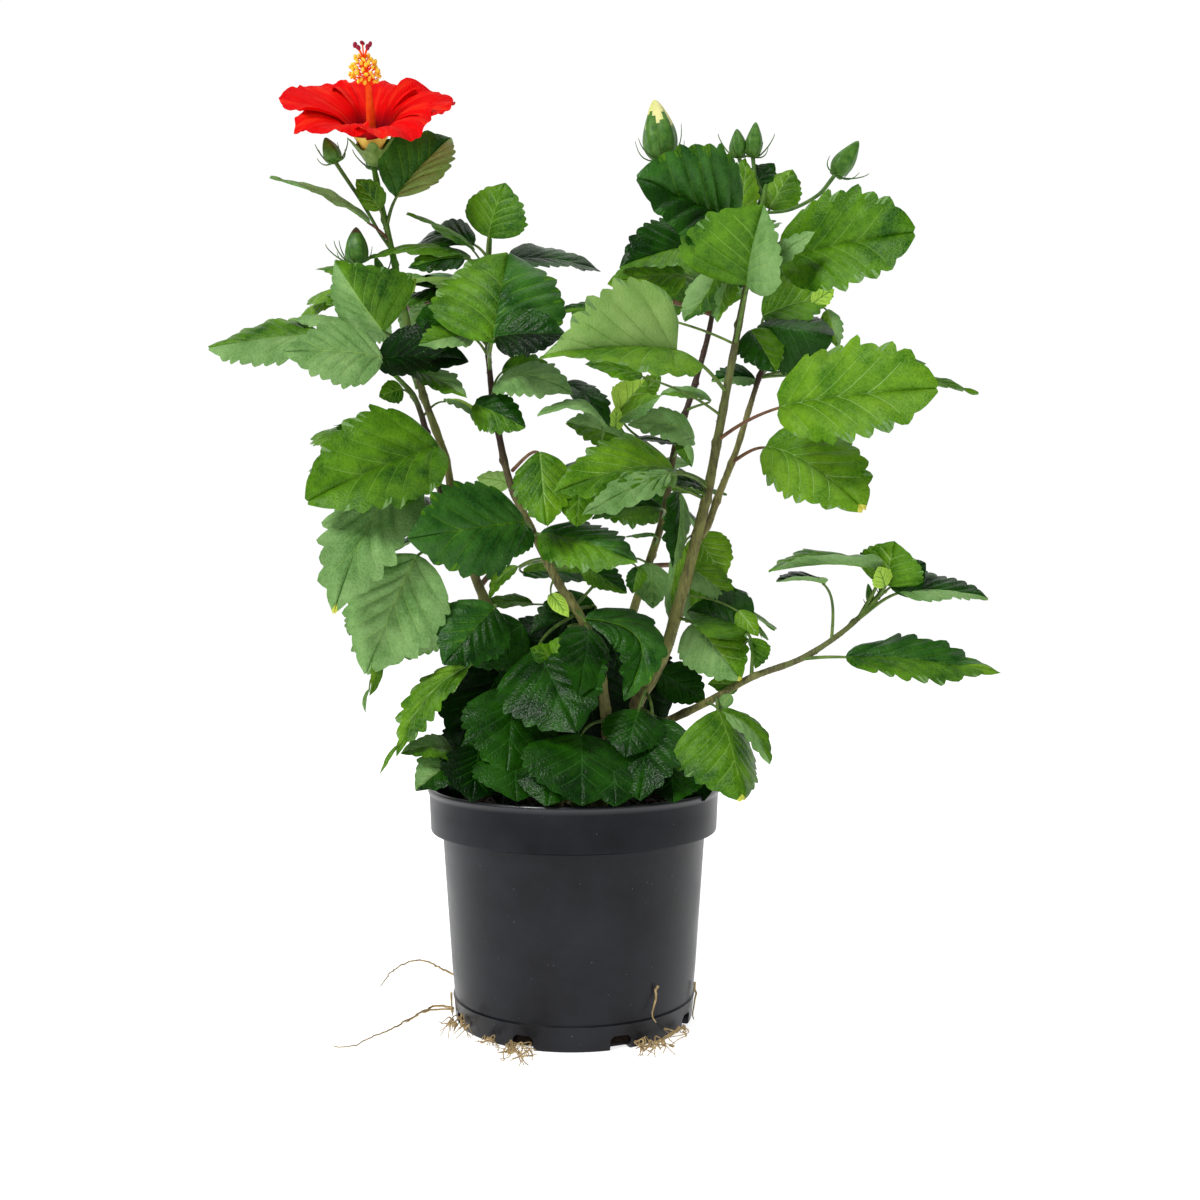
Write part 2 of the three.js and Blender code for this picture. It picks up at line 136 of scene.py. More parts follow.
def smooth_path(points: Array, spacing: float) -> Array:
    """Draw a centripetal Catmull-Rom curve through points.

    Args:
        points: the points it passes, one row each.
        spacing: the distance wanted between the points returned.

    Returns:
        Evenly spaced points on the curve.
    """
    before = 2 * points[0] - points[1]
    after = 2 * points[-1] - points[-2]
    knots = np.vstack((before, points, after))
    drawn = [points[0]]
    for p0, p1, p2, p3 in zip(knots, knots[1:], knots[2:], knots[3:]):
        d0, d1, d2 = (max(np.linalg.norm(b - a), 1e-6) ** 0.5 for a, b in ((p0, p1), (p1, p2), (p2, p3)))
        m1 = ((p1 - p0) / d0 - (p2 - p0) / (d0 + d1) + (p2 - p1) / d1) * d1
        m2 = ((p2 - p1) / d1 - (p3 - p1) / (d1 + d2) + (p3 - p2) / d2) * d1
        for t in np.linspace(0, 1, 17)[1:]:
            drawn.append(
                (2 * t**3 - 3 * t**2 + 1) * p1 + (t**3 - 2 * t**2 + t) * m1
                + (3 * t**2 - 2 * t**3) * p2 + (t**3 - t**2) * m2
            )
    drawn = np.array(drawn)
    walked = np.concatenate(([0], np.cumsum(np.linalg.norm(np.diff(drawn, axis=0), axis=1))))
    marks = np.linspace(0, walked[-1], max(3, int(round(walked[-1] / spacing)) + 1))
    return np.stack([np.interp(marks, walked, drawn[:, axis]) for axis in range(3)], axis=1)


def bezier(p0: Array, p1: Array, p2: Array, p3: Array, count: int) -> Array:
    """Return count points on the cubic curve with these four control points."""
    t = np.linspace(0, 1, count)[:, None]
    return (1 - t) ** 3 * p0 + 3 * (1 - t) ** 2 * t * p1 + 3 * (1 - t) * t**2 * p2 + t**3 * p3


def path_frames(path: Array) -> tuple[Array, Array, Array]:
    """Carry a pair of side directions along a path without twisting them.

    Args:
        path: the points of the path.

    Returns:
        The tangents and the two side directions at every point.
    """
    tangents = np.gradient(path, axis=0)
    tangents /= np.linalg.norm(tangents, axis=1)[:, None]
    side = unit(np.cross(tangents[0], (0.31, 0.92, 0.22)))
    sides = []
    for tangent in tangents:
        side = unit(side - tangent * float(side @ tangent))
        sides.append(side)
    sides = np.array(sides)
    return tangents, sides, np.cross(tangents, sides)


@dataclass
class Skin:
    """Points and faces gathered for one joined piece, in millimetres."""

    shells: list = field(default_factory=list)
    count: int = 0
    crease: float = 60.0
    mapped: bool = True

    def add(self, points: Array, quads: Array, slots: Array, pattern: Array, atlas: Array) -> None:
        """Append one shell.

        Args:
            points: its points, one row each.
            quads: four point numbers for each face; a triangle repeats its third number.
            slots: the material number of each face.
            pattern: the pattern coordinates of each face's corners.
            atlas: the bake coordinates of each face's corners.
        """
        self.shells.append((points, quads + self.count, slots, pattern, atlas))
        self.count += len(points)

    def add_sheet(self, top: Array, bottom: Array, shares: Array, body: Array,
                  under: Array, cell: int, cells: int) -> None:
        """Append one thin closed sheet, whose two faces meet along the rim.

        Args:
            top: the grid of points of its upper face.
            bottom: the grid of points of its lower face; its rim isn't used.
            shares: the shares along and across at every point of the grid.
            body: the material number of each face above.
            under: the material number of each face below.
            cell: the number of its first cell in the bake atlas; the lower face takes the next.
            cells: how many cells the atlas holds.
        """
        rows, columns = shares.shape[:2]
        number = np.arange(rows * columns).reshape(rows, columns)
        below = number.copy()
        below[1:-1, 1:-1] = rows * columns + np.arange((rows - 2) * (columns - 2)).reshape(rows - 2, -1)
        points = np.concatenate((top.reshape(-1, 3), bottom[1:-1, 1:-1].reshape(-1, 3)))

        def corners(grid: Array) -> Array:
            """Return what the grid holds at the four corners of every face."""
            return np.stack((grid[:-1, :-1], grid[:-1, 1:], grid[1:, 1:], grid[1:, :-1]), axis=2).reshape(
                -1, 4, *grid.shape[2:])

        upper, lower, uv = corners(number), corners(below)[:, ::-1], corners(shares)
        quads = np.concatenate((upper, lower))
        pattern = np.concatenate((uv, uv[:, ::-1]))
        if signed_volume(points, quads) < 0:
            quads, pattern = quads[:, ::-1], pattern[:, ::-1]
        halves = np.split(pattern, (len(upper),))
        atlas = np.concatenate([into_cell(half, cell + index, cells) for index, half in enumerate(halves)])
        self.add(points, quads, np.concatenate((body.ravel(), under.ravel())), pattern, atlas)

    def add_rings(self, rings: Array, ends: tuple, slots: Array | int = 0, age: Array | float = 0.0,
                  cell: int = 0, cells: int = 1) -> None:
        """Append a closed shell of rings, drawn in to one point at each end.

        Args:
            rings: the points, by ring and by place round it.
            ends: the point before the first ring and the one beyond the last.
            slots: the material number of each face of the wall; a cap takes those beside it.
            age: the share along that the pattern has at each ring.
            cell: the number of its cell in the bake atlas.
            cells: how many cells the atlas holds.
        """
        rows, sides = rings.shape[:2]
        slots, age = np.broadcast_to(slots, (rows - 1, sides)), np.broadcast_to(age, rows)
        around = np.arange(sides)
        beside, last, end = (around + 1) % sides, (rows - 1) * sides, np.full(sides, rows * sides)
        low = np.stack((beside, around, end, end), axis=1)
        high = np.stack((last + around, last + beside, end + 1, end + 1), axis=1)
        u, v = around / sides, (around + 1) / sides

        def lay(shares: Array, first: float, final: float) -> Array:
            """Return every corner's coordinates, from the share at each ring and at both ends."""
            laid = np.empty((rows + 1, sides, 4, 2))
            laid[:-2, :, :, 0], laid[-2, :, :, 0], laid[-1, :, :, 0] = (
                np.stack(pair, axis=1) for pair in ((u, v, v, u), (v, u, u, u), (u, v, u, u)))
            laid[:, :, :2, 1] = np.concatenate((shares[:-1], shares[[0, -1]]))[:, None, None]
            laid[:, :, 2:, 1] = np.concatenate((shares[1:], (first, final)))[:, None, None]
            return laid.reshape(-1, 4, 2)

        self.add(np.concatenate((rings.reshape(-1, 3), ends)),
                 np.concatenate((grid_quads(rows, sides), low, high)),
                 np.concatenate((slots.ravel(), slots[0], slots[-1])), lay(age, age[0], age[-1]),
                 into_cell(lay(np.linspace(0.02, 0.98, rows), 0.0, 1.0), cell, cells))

    def build(self, name: str, materials: list) -> Object:
        """Make the piece.

        Args:
            name: the piece's name.
            materials: the materials, in the order of the face slots.

        Returns:
            The new object, linked to the scene, in metres.
        """
        points, quads, slots, pattern, atlas = (np.concatenate(column) for column in zip(*self.shells))
        keep = np.ones(quads.shape, bool)
        keep[:, 3] = quads[:, 2] != quads[:, 3]
        sizes = keep.sum(axis=1)
        mesh = bpy.data.meshes.new(name)
        mesh.vertices.add(len(points))
        mesh.vertices.foreach_set("co", (points * MM).astype(np.float32).ravel())
        mesh.loops.add(int(sizes.sum()))
        mesh.loops.foreach_set("vertex_index", quads[keep].astype(np.int32))
        mesh.polygons.add(len(quads))
        mesh.polygons.foreach_set("loop_start", (np.cumsum(sizes) - sizes).astype(np.int32))
        mesh.polygons.foreach_set("material_index", slots.astype(np.int32))
        mesh.polygons.foreach_set("use_smooth", np.ones(len(quads), bool))
        mesh.update(calc_edges=True)
        mesh.set_sharp_from_angle(angle=math.radians(self.crease))
        for layer, values in (("OFBake", atlas), ("pattern", pattern)) if self.mapped else ():
            uv = mesh.uv_layers.new(name=layer)
            uv.data.foreach_set("uv", values[keep].astype(np.float32).ravel())
        for material in materials:
            mesh.materials.append(material)
        return add_object(name, mesh)


def add_object(name: str, data: bpy.types.ID) -> Object:
    """Make an object and link it to the scene."""
    made = bpy.data.objects.new(name, data)
    bpy.context.scene.collection.objects.link(made)
    return made


def plain_mesh(name: str, points: Array, edges: list = (), faces: list = ()) -> bpy.types.Mesh:
    """Make a mesh from points in millimetres.

    Args:
        name: its name.
        points: the points, one row each.
        edges: pairs of point numbers.
        faces: point numbers for each face.

    Returns:
        The mesh, in metres.
    """
    mesh = bpy.data.meshes.new(name)
    mesh.from_pydata((np.array(points) * MM).tolist(), edges, faces)
    return mesh


def signed_volume(points: Array, quads: Array) -> float:
    """Return the volume inside closed faces, below nought if they face inwards."""
    a, b, c, d = (points[quads[:, corner]] - points[0] for corner in range(4))
    return float((np.cross(a, b) * c).sum() + (np.cross(a, c) * d).sum())


def stacked(*parts: Array) -> Array:
    """Return arrays, broadcast together, side by side along a new last axis."""
    return np.stack(np.broadcast_arrays(*parts), axis=-1)


def about_axis(radius: Array, angle: Array, height: Array) -> Array:
    """Return the points at these radii, angles and heights about the Z axis."""
    return stacked(radius * np.cos(angle), radius * np.sin(angle), height)


def grid_quads(rows: int, columns: int) -> Array:
    """Number the faces of a grid of points whose rows close into rings.

    Args:
        rows: how many rows of points it has.
        columns: how many points a row has.

    Returns:
        Four point numbers for each face.
    """
    across = np.arange(columns)
    beside = (across + 1) % columns
    start = (np.arange(rows - 1) * columns)[:, None]
    return np.stack(
        (start + across, start + beside, start + columns + beside, start + columns + across), axis=-1
    ).reshape(-1, 4)


def into_cell(corners: Array, index: int, total: int, margin: float = 0.03) -> Array:
    """Fit coordinates from nought to one into one cell of a square bake atlas.

    Args:
        corners: the coordinates.
        index: the number of the cell.
        total: how many cells the atlas needs.
        margin: the share of the cell that is left free at each side.

    Returns:
        The coordinates in the atlas.
    """
    per_row = math.ceil(math.sqrt(total))
    row, column = divmod(index, per_row)
    return (corners * (1 - 2 * margin) + (column + margin, row + margin)) / per_row


def hand_in(piece: Object, slot: Slot, *nodes: str) -> None:
    """Tie a piece to the plant's one body and report it.

    Args:
        piece: the finished piece.
        slot: the record's material slot for the piece; not used.
        nodes: the CAD nodes that it stands for.
    """
    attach(piece, "root")
    if nodes:
        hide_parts(*nodes)
    LOG.info("%s: %d faces, stands for %d nodes", piece.name, len(piece.data.polygons), len(nodes))


# ---------- finishes


class Tree:
    """A node tree, with short ways to add joined nodes."""

    def __init__(self, tree: bpy.types.NodeTree, family: str) -> None:
        """Take a tree, and what the class names of its usual nodes start with."""
        self.tree, self.family = tree, family

    def add(self, kind: str, inputs: dict, settings: dict) -> bpy.types.Node:
        """Add a node.

        Args:
            kind: its class name, or what follows the family's part of it.
            inputs: values or sockets for its inputs, by name or number.
            settings: properties of the node.

        Returns:
            The new node.
        """
        made = self.tree.nodes.new(kind if "Node" in kind else self.family + kind)
        for key, value in settings.items():
            setattr(made, key, value)
        for key, value in inputs.items():
            if isinstance(value, Socket):
                self.tree.links.new(value, made.inputs[key])
            else:
                made.inputs[key].default_value = value
        return made

    def node(self, kind: str, inputs: dict | None = None, output: int | str = 0, **settings) -> Socket:
        """Add a node and return one of its outputs."""
        return self.add(kind, inputs or {}, settings).outputs[output]


class Shader(Tree):
    """A material's node tree, built round one Principled shader."""

    def __init__(self, name: str) -> None:
        """Start the material."""
        self.material = bpy.data.materials.new(name)
        self.material.use_nodes = True
        super().__init__(self.material.node_tree, "ShaderNode")
        self.surface = self.tree.nodes["Principled BSDF"].inputs
        self.spot = self.node("TexCoord", output="Object")

    def noise(self, scale: float, detail: float = 2.0, rough: float = 0.5,
              where: Socket | None = None) -> Socket:
        """Return a noise over the object's own coordinates, or over where."""
        given = {"Vector": where or self.spot, "Scale": scale, "Detail": detail, "Roughness": rough}
        return self.node("TexNoise", given, "Fac")

    def maths(self, operation: str, first: Socket, second: Socket | float = 0.0) -> Socket:
        """Return what an operation makes of a socket and a number or socket."""
        return self.node("Math", {0: first, 1: second}, operation=operation)

    def fit(self, value: Socket, low: float, high: float, start: float, end: float) -> Socket:
        """Return a value fitted from low and high to start and end."""
        return self.node("MapRange", {0: value, 1: low, 2: high, 3: start, 4: end})

    def pattern(self) -> tuple[Socket, ...]:
        """Return the two coordinates of the pattern map."""
        return tuple(self.add("SeparateXYZ", {0: self.node("UVMap", uv_map="pattern")}, {}).outputs)[:2]

    def shine(self, **values: float) -> None:
        """Set uniform numbers on the shader's own sockets, by name with underscores for spaces."""
        for key, value in values.items():
            self.surface[key.replace("_", " ")].default_value = value

    def join(self, socket: Socket, name: str = "Base Color") -> None:
        """Join a socket to an input of the shader."""
        self.tree.links.new(socket, self.surface[name])

    def relief(self, height: Socket, strength: float, distance: float) -> None:
        """Join a height to the normal through a bump of this strength and distance in metres."""
        bump = self.node("Bump", {"Height": height, "Strength": strength, "Distance": distance})
        self.join(bump, "Normal")

    def ramp(self, factor: Socket, *stops: tuple) -> Socket:
        """Turn a factor into a colour.

        Args:
            factor: the socket that drives the ramp.
            stops: position and colour of each stop, in order.

        Returns:
            The colour socket.
        """
        made = self.add("ValToRGB", {"Fac": factor}, {})
        elements = made.color_ramp.elements
        while len(elements) < len(stops):
            elements.new(0.5)
        for element, (position, colour) in zip(elements, stops):
            element.position = position
            element.color = (*colour, 1.0)
        return made.outputs["Color"]

    def blend(self, factor: Socket, first: Socket, second: Socket | Colour) -> Socket:
        """Return a colour that goes from the first, at factor nought, to the second."""
        second = (*second, 1.0) if isinstance(second, tuple) else second
        return self.node("Mix", {0: factor, 6: first, 7: second}, 2, data_type="RGBA")


@dataclass(frozen=True)
class LeafFinish:
    """A leaf surface: mottled between two near greens, with a fine net of veins."""

    name: str
    shade: Colour
    light: Colour
    roughness: float = 0.42
    gloss: float = 0.45
    net: float = 0.16
    relief: float = 0.55

    def make(self) -> Material:
        """Build the material."""
        shader = Shader(self.name)
        mottle = shader.noise(50.0, 5.0, 0.66)
        body = shader.ramp(mottle, (0.36, self.shade), (0.64, self.light))
        edge = shader.node("TexVoronoi", {"Vector": shader.spot, "Scale": 430.0}, feature="DISTANCE_TO_EDGE")
        line = shader.maths("MULTIPLY", shader.fit(edge, 0.02, 0.12, 1.0, 0.0), self.net)
        shader.join(shader.blend(line, body, tuple(min(1.0, part * 1.7 + 0.02) for part in self.light)))
        shader.relief(shader.maths("ADD", edge, shader.noise(900.0)), self.relief, 0.0006)
        shader.shine(Roughness=self.roughness, Specular_IOR_Level=self.gloss)
        return shader.material


@dataclass(frozen=True)
class BarkFinish:
    """Young bark: tan and olive at the foot, purple-brown and green towards the tip, in fine streaks."""

    name: str
    foot: Colour = (0.260, 0.235, 0.085)
    middle: Colour = (0.245, 0.245, 0.068)
    tip: Colour = (0.085, 0.230, 0.016)
    upper: Colour = (0.130, 0.150, 0.040)
    streak: Colour = (0.045, 0.026, 0.018)
    streak_share: float = 0.74

    def make(self) -> Material:
        """Build the material."""
        shader = Shader(self.name)
        body = shader.ramp(shader.pattern()[1], (0.0, self.foot), (0.42, self.middle), (0.66, self.upper),
                           (0.86, self.upper), (1.0, self.tip))
        stretched = shader.node("Mapping", {"Vector": shader.spot, "Scale": (1.0, 1.0, 0.16)})
        fibre = shader.noise(760.0, 4.0, 0.65, stretched)
        mixed = shader.maths("ADD", fibre, shader.noise(70.0))
        shader.join(shader.blend(shader.fit(mixed, 0.92, 1.22, 0.0, self.streak_share), body, self.streak))
        shader.relief(fibre, 0.55, 0.0006)
        shader.shine(Roughness=0.62, Specular_IOR_Level=0.3)
        return shader.material


@dataclass(frozen=True)
class GrainFinish:
    """A plain matt or satin surface, mottled between two colours, with fine relief."""

    name: str
    shade: Colour
    light: Colour
    scale: float = 300.0
    roughness: float = 0.6
    gloss: float = 0.35
    relief: float = 0.3
    depth: float = 0.0004

    def make(self) -> Material:
        """Build the material."""
        shader = Shader(self.name)
        grain = shader.noise(self.scale, 4.0, 0.6)
        shader.join(shader.ramp(grain, (0.3, self.shade), (0.7, self.light)))
        shader.relief(grain, self.relief, self.depth)
        shader.shine(Roughness=self.roughness, Specular_IOR_Level=self.gloss)
        return shader.material


@dataclass(frozen=True)
class PetalFinish:
    """A petal: satin red with fine veins and warm streaks, darkening into the throat."""

    name: str = "petal_red"
    throat: Colour = (0.20, 0.0, 0.006)
    body: Colour = (0.82, 0.0002, 0.0004)
    edge: Colour = (0.76, 0.001, 0.003)
    ridge: Colour = (0.92, 0.035, 0.010)
    vein: Colour = (0.55, 0.0, 0.004)
    veins: float = 56.0

    def make(self) -> Material:
        """Build the material."""
        shader = Shader(self.name)
        out, across = shader.pattern()
        body = shader.ramp(out, (0.0, self.throat), (0.24, self.throat), (0.40, self.body), (0.8, self.body),
                           (1.0, self.edge))
        course = shader.maths("ADD", across, shader.maths("MULTIPLY", shader.noise(120.0), 0.10))
        ridge = shader.maths("SINE", shader.maths("MULTIPLY", course, self.veins * math.tau))
        fan = shader.node("CombineXYZ", {0: out, 1: across})
        long = shader.node("Mapping", {"Vector": fan, "Scale": (0.8, 5.5, 1.0)})
        warm = shader.fit(shader.noise(2.2, where=long), 0.5, 0.66, 0.0, 0.75)
        lit = shader.blend(warm, body, self.ridge)
        tinted = shader.blend(shader.fit(ridge, 0.55, 1.0, 0.0, 0.30), lit, self.vein)
        shader.join(shader.blend(shader.fit(out, 0.24, 0.40, 1.0, 0.0), tinted, body))
        shader.relief(shader.maths("ADD", ridge, shader.noise(520.0, 3.0)), 0.35, 0.0005)
        shader.shine(Roughness=0.6, Specular_IOR_Level=0.05)
        return shader.material


@dataclass(frozen=True)
class PotFinish:
    """Black moulded plastic: satin, faintly cloudy, with sparse dust."""

    name: str = "nursery_pot_plastic"
    shade: Colour = (0.0015, 0.0018, 0.0032)
    light: Colour = (0.0120, 0.0130, 0.0185)
    dust: Colour = (0.16, 0.16, 0.17)
    height: float = 0.14
    sheen: tuple = ((0.0, 0.23), (0.76, 0.20), (0.79, 0.13), (0.93, 0.14), (0.955, 0.7))

    def make(self) -> Material:
        """Build the material."""
        shader = Shader(self.name)
        cloud = shader.noise(24.0, 5.0, 0.6)
        body = shader.ramp(cloud, (0.3, self.shade), (0.7, self.light))
        speck = shader.node("TexVoronoi", {"Vector": shader.spot, "Scale": 260.0}, "Distance")
        rare = shader.fit(shader.noise(150.0, 1.0), 0.56, 0.62, 0.0, 1.0)
        mark = shader.maths("MULTIPLY", shader.fit(speck, 0.05, 0.10, 0.5, 0.0), rare)
        shader.join(shader.blend(mark, body, self.dust))
        shader.join(shader.fit(cloud, 0.3, 0.7, 0.27, 0.40), "Roughness")
        shader.relief(shader.noise(1400.0), 0.12, 0.0003)
        share = shader.maths("DIVIDE", shader.node("SeparateXYZ", {0: shader.spot}, "Z"), self.height)
        sheen = shader.ramp(share, *((at, (value,) * 3) for at, value in self.sheen))
        shader.join(sheen, "Specular IOR Level")
        return shader.material


LEAF_FINISHES: dict[Tint, LeafFinish] = {
    # The SHADED finish is near-black painted shade and the DEEP one dark green deepened by painted shade,
    # for leaves inside the crown; the BRIGHT and PALE finishes are greens lightened by painted light and
    # sheen on lit halves.
    Tint.SHADED: LeafFinish(
        "leaf_shaded", (0.0004, 0.0045, 0.0002), (0.0028, 0.0220, 0.0010), 0.28, 0.10, 0.04),
    Tint.DEEP: LeafFinish("leaf_deep_shade", (0.002, 0.022, 0.0005), (0.014, 0.080, 0.002), 0.27, 0.16, 0.06),
    Tint.MIDDLE: LeafFinish("leaf_middle", (0.005, 0.048, 0.003), (0.040, 0.148, 0.014), 0.33, 0.16, 0.10),
    Tint.GREEN: LeafFinish("leaf_green", (0.012, 0.072, 0.001), (0.096, 0.242, 0.006), 0.38, 0.15, 0.14),
    Tint.BRIGHT: LeafFinish("leaf_bright", (0.042, 0.146, 0.002), (0.148, 0.315, 0.011), 0.42, 0.15, 0.16),
    Tint.PALE: LeafFinish("leaf_pale", (0.098, 0.228, 0.052), (0.222, 0.390, 0.130), 0.55, 0.12, 0.14),
    Tint.YOUNG: LeafFinish("leaf_young", (0.260, 0.480, 0.030), (0.420, 0.640, 0.080), 0.45, 0.25),
    Tint.UNDERSIDE: LeafFinish(
        "leaf_underside", (0.115, 0.235, 0.060), (0.185, 0.325, 0.110), 0.6, 0.12, 0.2),
    Tint.VEIN: LeafFinish("leaf_vein", (0.100, 0.230, 0.020), (0.165, 0.315, 0.045), 0.5, 0.15, 0.0),
    Tint.DIM_VEIN: LeafFinish(
        "leaf_vein_dim", (0.010, 0.062, 0.004), (0.026, 0.110, 0.009), 0.45, 0.20, 0.0),
    Tint.PALE_VEIN: LeafFinish(
        "leaf_vein_pale", (0.200, 0.370, 0.080), (0.290, 0.460, 0.130), 0.5, 0.15, 0.0),
    Tint.WITHERED: LeafFinish("leaf_yellowed", (0.400, 0.500, 0.040), (0.620, 0.560, 0.090), 0.6, 0.2),
}


# ---------- geometry nodes


class NodeRig(Tree):
    """A geometry node tree that is run once on an object and then baked to a plain mesh."""

    def __init__(self, name: str, **values: float) -> None:
        """Start a tree, with a named input for each value."""
        super().__init__(bpy.data.node_groups.new(name, "GeometryNodeTree"), "GeometryNode")
        face = self.tree.interface
        face.new_socket("Geometry", in_out="INPUT", socket_type="NodeSocketGeometry")
        self.values = {}
        for label, value in values.items():
            kind = "NodeSocketInt" if isinstance(value, int) else "NodeSocketFloat"
            self.values[face.new_socket(label, in_out="INPUT", socket_type=kind).identifier] = value
        face.new_socket("Geometry", in_out="OUTPUT", socket_type="NodeSocketGeometry")
        self.given = self.tree.nodes.new("NodeGroupInput").outputs

    def strew(self, points: Socket, lump: Socket, size: Socket, turn: float) -> Socket:
        """Put a lump on every point.

        Args:
            points: the points.
            lump: the geometry of the lump.
            size: the lumps' sizes.
            turn: how far a lump may lean.

        Returns:
            The lumps.
        """
        turns = self.node("FunctionNodeRandomValue", {
            0: (0.0, 0.0, 0.0), 1: (turn, turn, math.tau), "Seed": self.given["Seed"]},
            data_type="FLOAT_VECTOR")
        return self.node("InstanceOnPoints", {
            "Points": points, "Instance": lump, "Rotation": turns, "Scale": size})

    def run(self, name: str, geometry: Socket, seed_mesh: bpy.types.Mesh, material: Material) -> Object:
        """End the tree in smooth shading, realized instances and the material, and run it on a mesh.

        Args:
            name: the name of the piece.
            geometry: what the tree has made.
            seed_mesh: the mesh that goes in.
            material: the material of the piece.

        Returns:
            An object that holds the result as a plain mesh.
        """
        smooth = self.node("SetShadeSmooth", {"Geometry": geometry})
        real = self.node("RealizeInstances", {"Geometry": smooth})
        dressed = self.node("SetMaterial", {"Geometry": real, "Material": material})
        self.tree.links.new(dressed, self.tree.nodes.new("NodeGroupOutput").inputs[0])
        carrier = add_object(name + "_seed", seed_mesh)
        modifier = carrier.modifiers.new("rig", "NODES")
        modifier.node_group = self.tree
        for identifier, value in self.values.items():
            modifier[identifier] = value
        graph = bpy.context.evaluated_depsgraph_get()
        result = bpy.data.meshes.new_from_object(carrier.evaluated_get(graph))
        carrier.modifiers.clear()
        bpy.data.objects.remove(carrier)
        result.name = name
        if not result.materials:
            result.materials.append(material)
        return add_object(name, result)


@dataclass
class Strand:
    """A thin round thing that follows a path: a leaf stalk, a root or a stamen."""

    path: Array
    girth: Array


def skin_strands(name: str, strands: list[Strand], sides: int, material: Material) -> Object:
    """Give strands a round skin with closed ends, by geometry nodes.

    Args:
        name: the name of the piece.
        strands: the strands that it joins.
        sides: how many sides the round has.
        material: its material.

    Returns:
        The piece.
    """
    counts = [len(strand.path) for strand in strands]
    starts = np.cumsum(counts) - counts
    edges = [(start + i, start + i + 1) for start, count in zip(starts, counts) for i in range(count - 1)]
    mesh = plain_mesh(name + "_paths", np.concatenate([strand.path for strand in strands]), edges)
    girths = np.concatenate([strand.girth for strand in strands]) * MM
    mesh.attributes.new("girth", "FLOAT", "POINT").data.foreach_set("value", girths.astype(np.float32))
    rig = NodeRig(name + "_rig", Sides=sides)
    curve = rig.node("MeshToCurve", {"Mesh": rig.given["Geometry"]})
    girth = rig.node("InputNamedAttribute", {"Name": "girth"}, data_type="FLOAT")
    ring = rig.node("CurvePrimitiveCircle", {"Resolution": rig.given["Sides"], "Radius": 1.0})
    sheath = rig.node(
        "CurveToMesh", {"Curve": curve, "Profile Curve": ring, "Scale": girth, "Fill Caps": True})
    return rig.run(name, sheath, mesh, material)


def scatter(name: str, ground: bpy.types.Mesh, material: Material, density: float, small: float,
            large: float, flat: float) -> Object:
    """Strew lumps over a surface, by geometry nodes.

    Args:
        name: the name of the piece.
        ground: the surface that they lie on, in metres.
        material: their material.
        density: how many lie on a square metre.
        small: the radius of the smallest, in metres.
        large: the radius of the largest, in metres.
        flat: how tall a lump is as a share of its width.

    Returns:
        The piece.
    """
    rig = NodeRig(name + "_rig", Density=density, Small=small, Large=large, Seed=SEED)
    given = rig.given
    spots = rig.node("DistributePointsOnFaces", {
        "Mesh": given["Geometry"], "Density": given["Density"], "Seed": given["Seed"]})
    lump = rig.node("MeshIcoSphere", {"Radius": 1.0, "Subdivisions": 2})
    rough = rig.node("ShaderNodeTexNoise", {
        "Vector": rig.node("InputPosition"), "Scale": 1.3, "Detail": 1.0}, "Color")
    shift = rig.node("ShaderNodeVectorMath", {0: rough, 1: (0.5, 0.5, 0.5)}, operation="SUBTRACT")
    uneven = rig.node("SetPosition", {"Geometry": lump, "Offset": shift})
    squat = rig.node("Transform", {"Geometry": uneven, "Scale": (1.0, 0.8, flat)})
    size = rig.node("FunctionNodeRandomValue", {
        2: given["Small"], 3: given["Large"], "Seed": given["Seed"]}, 1)
    return rig.run(name, rig.strew(spots, squat, size, 0.8), ground, material)


# ---------- limbs


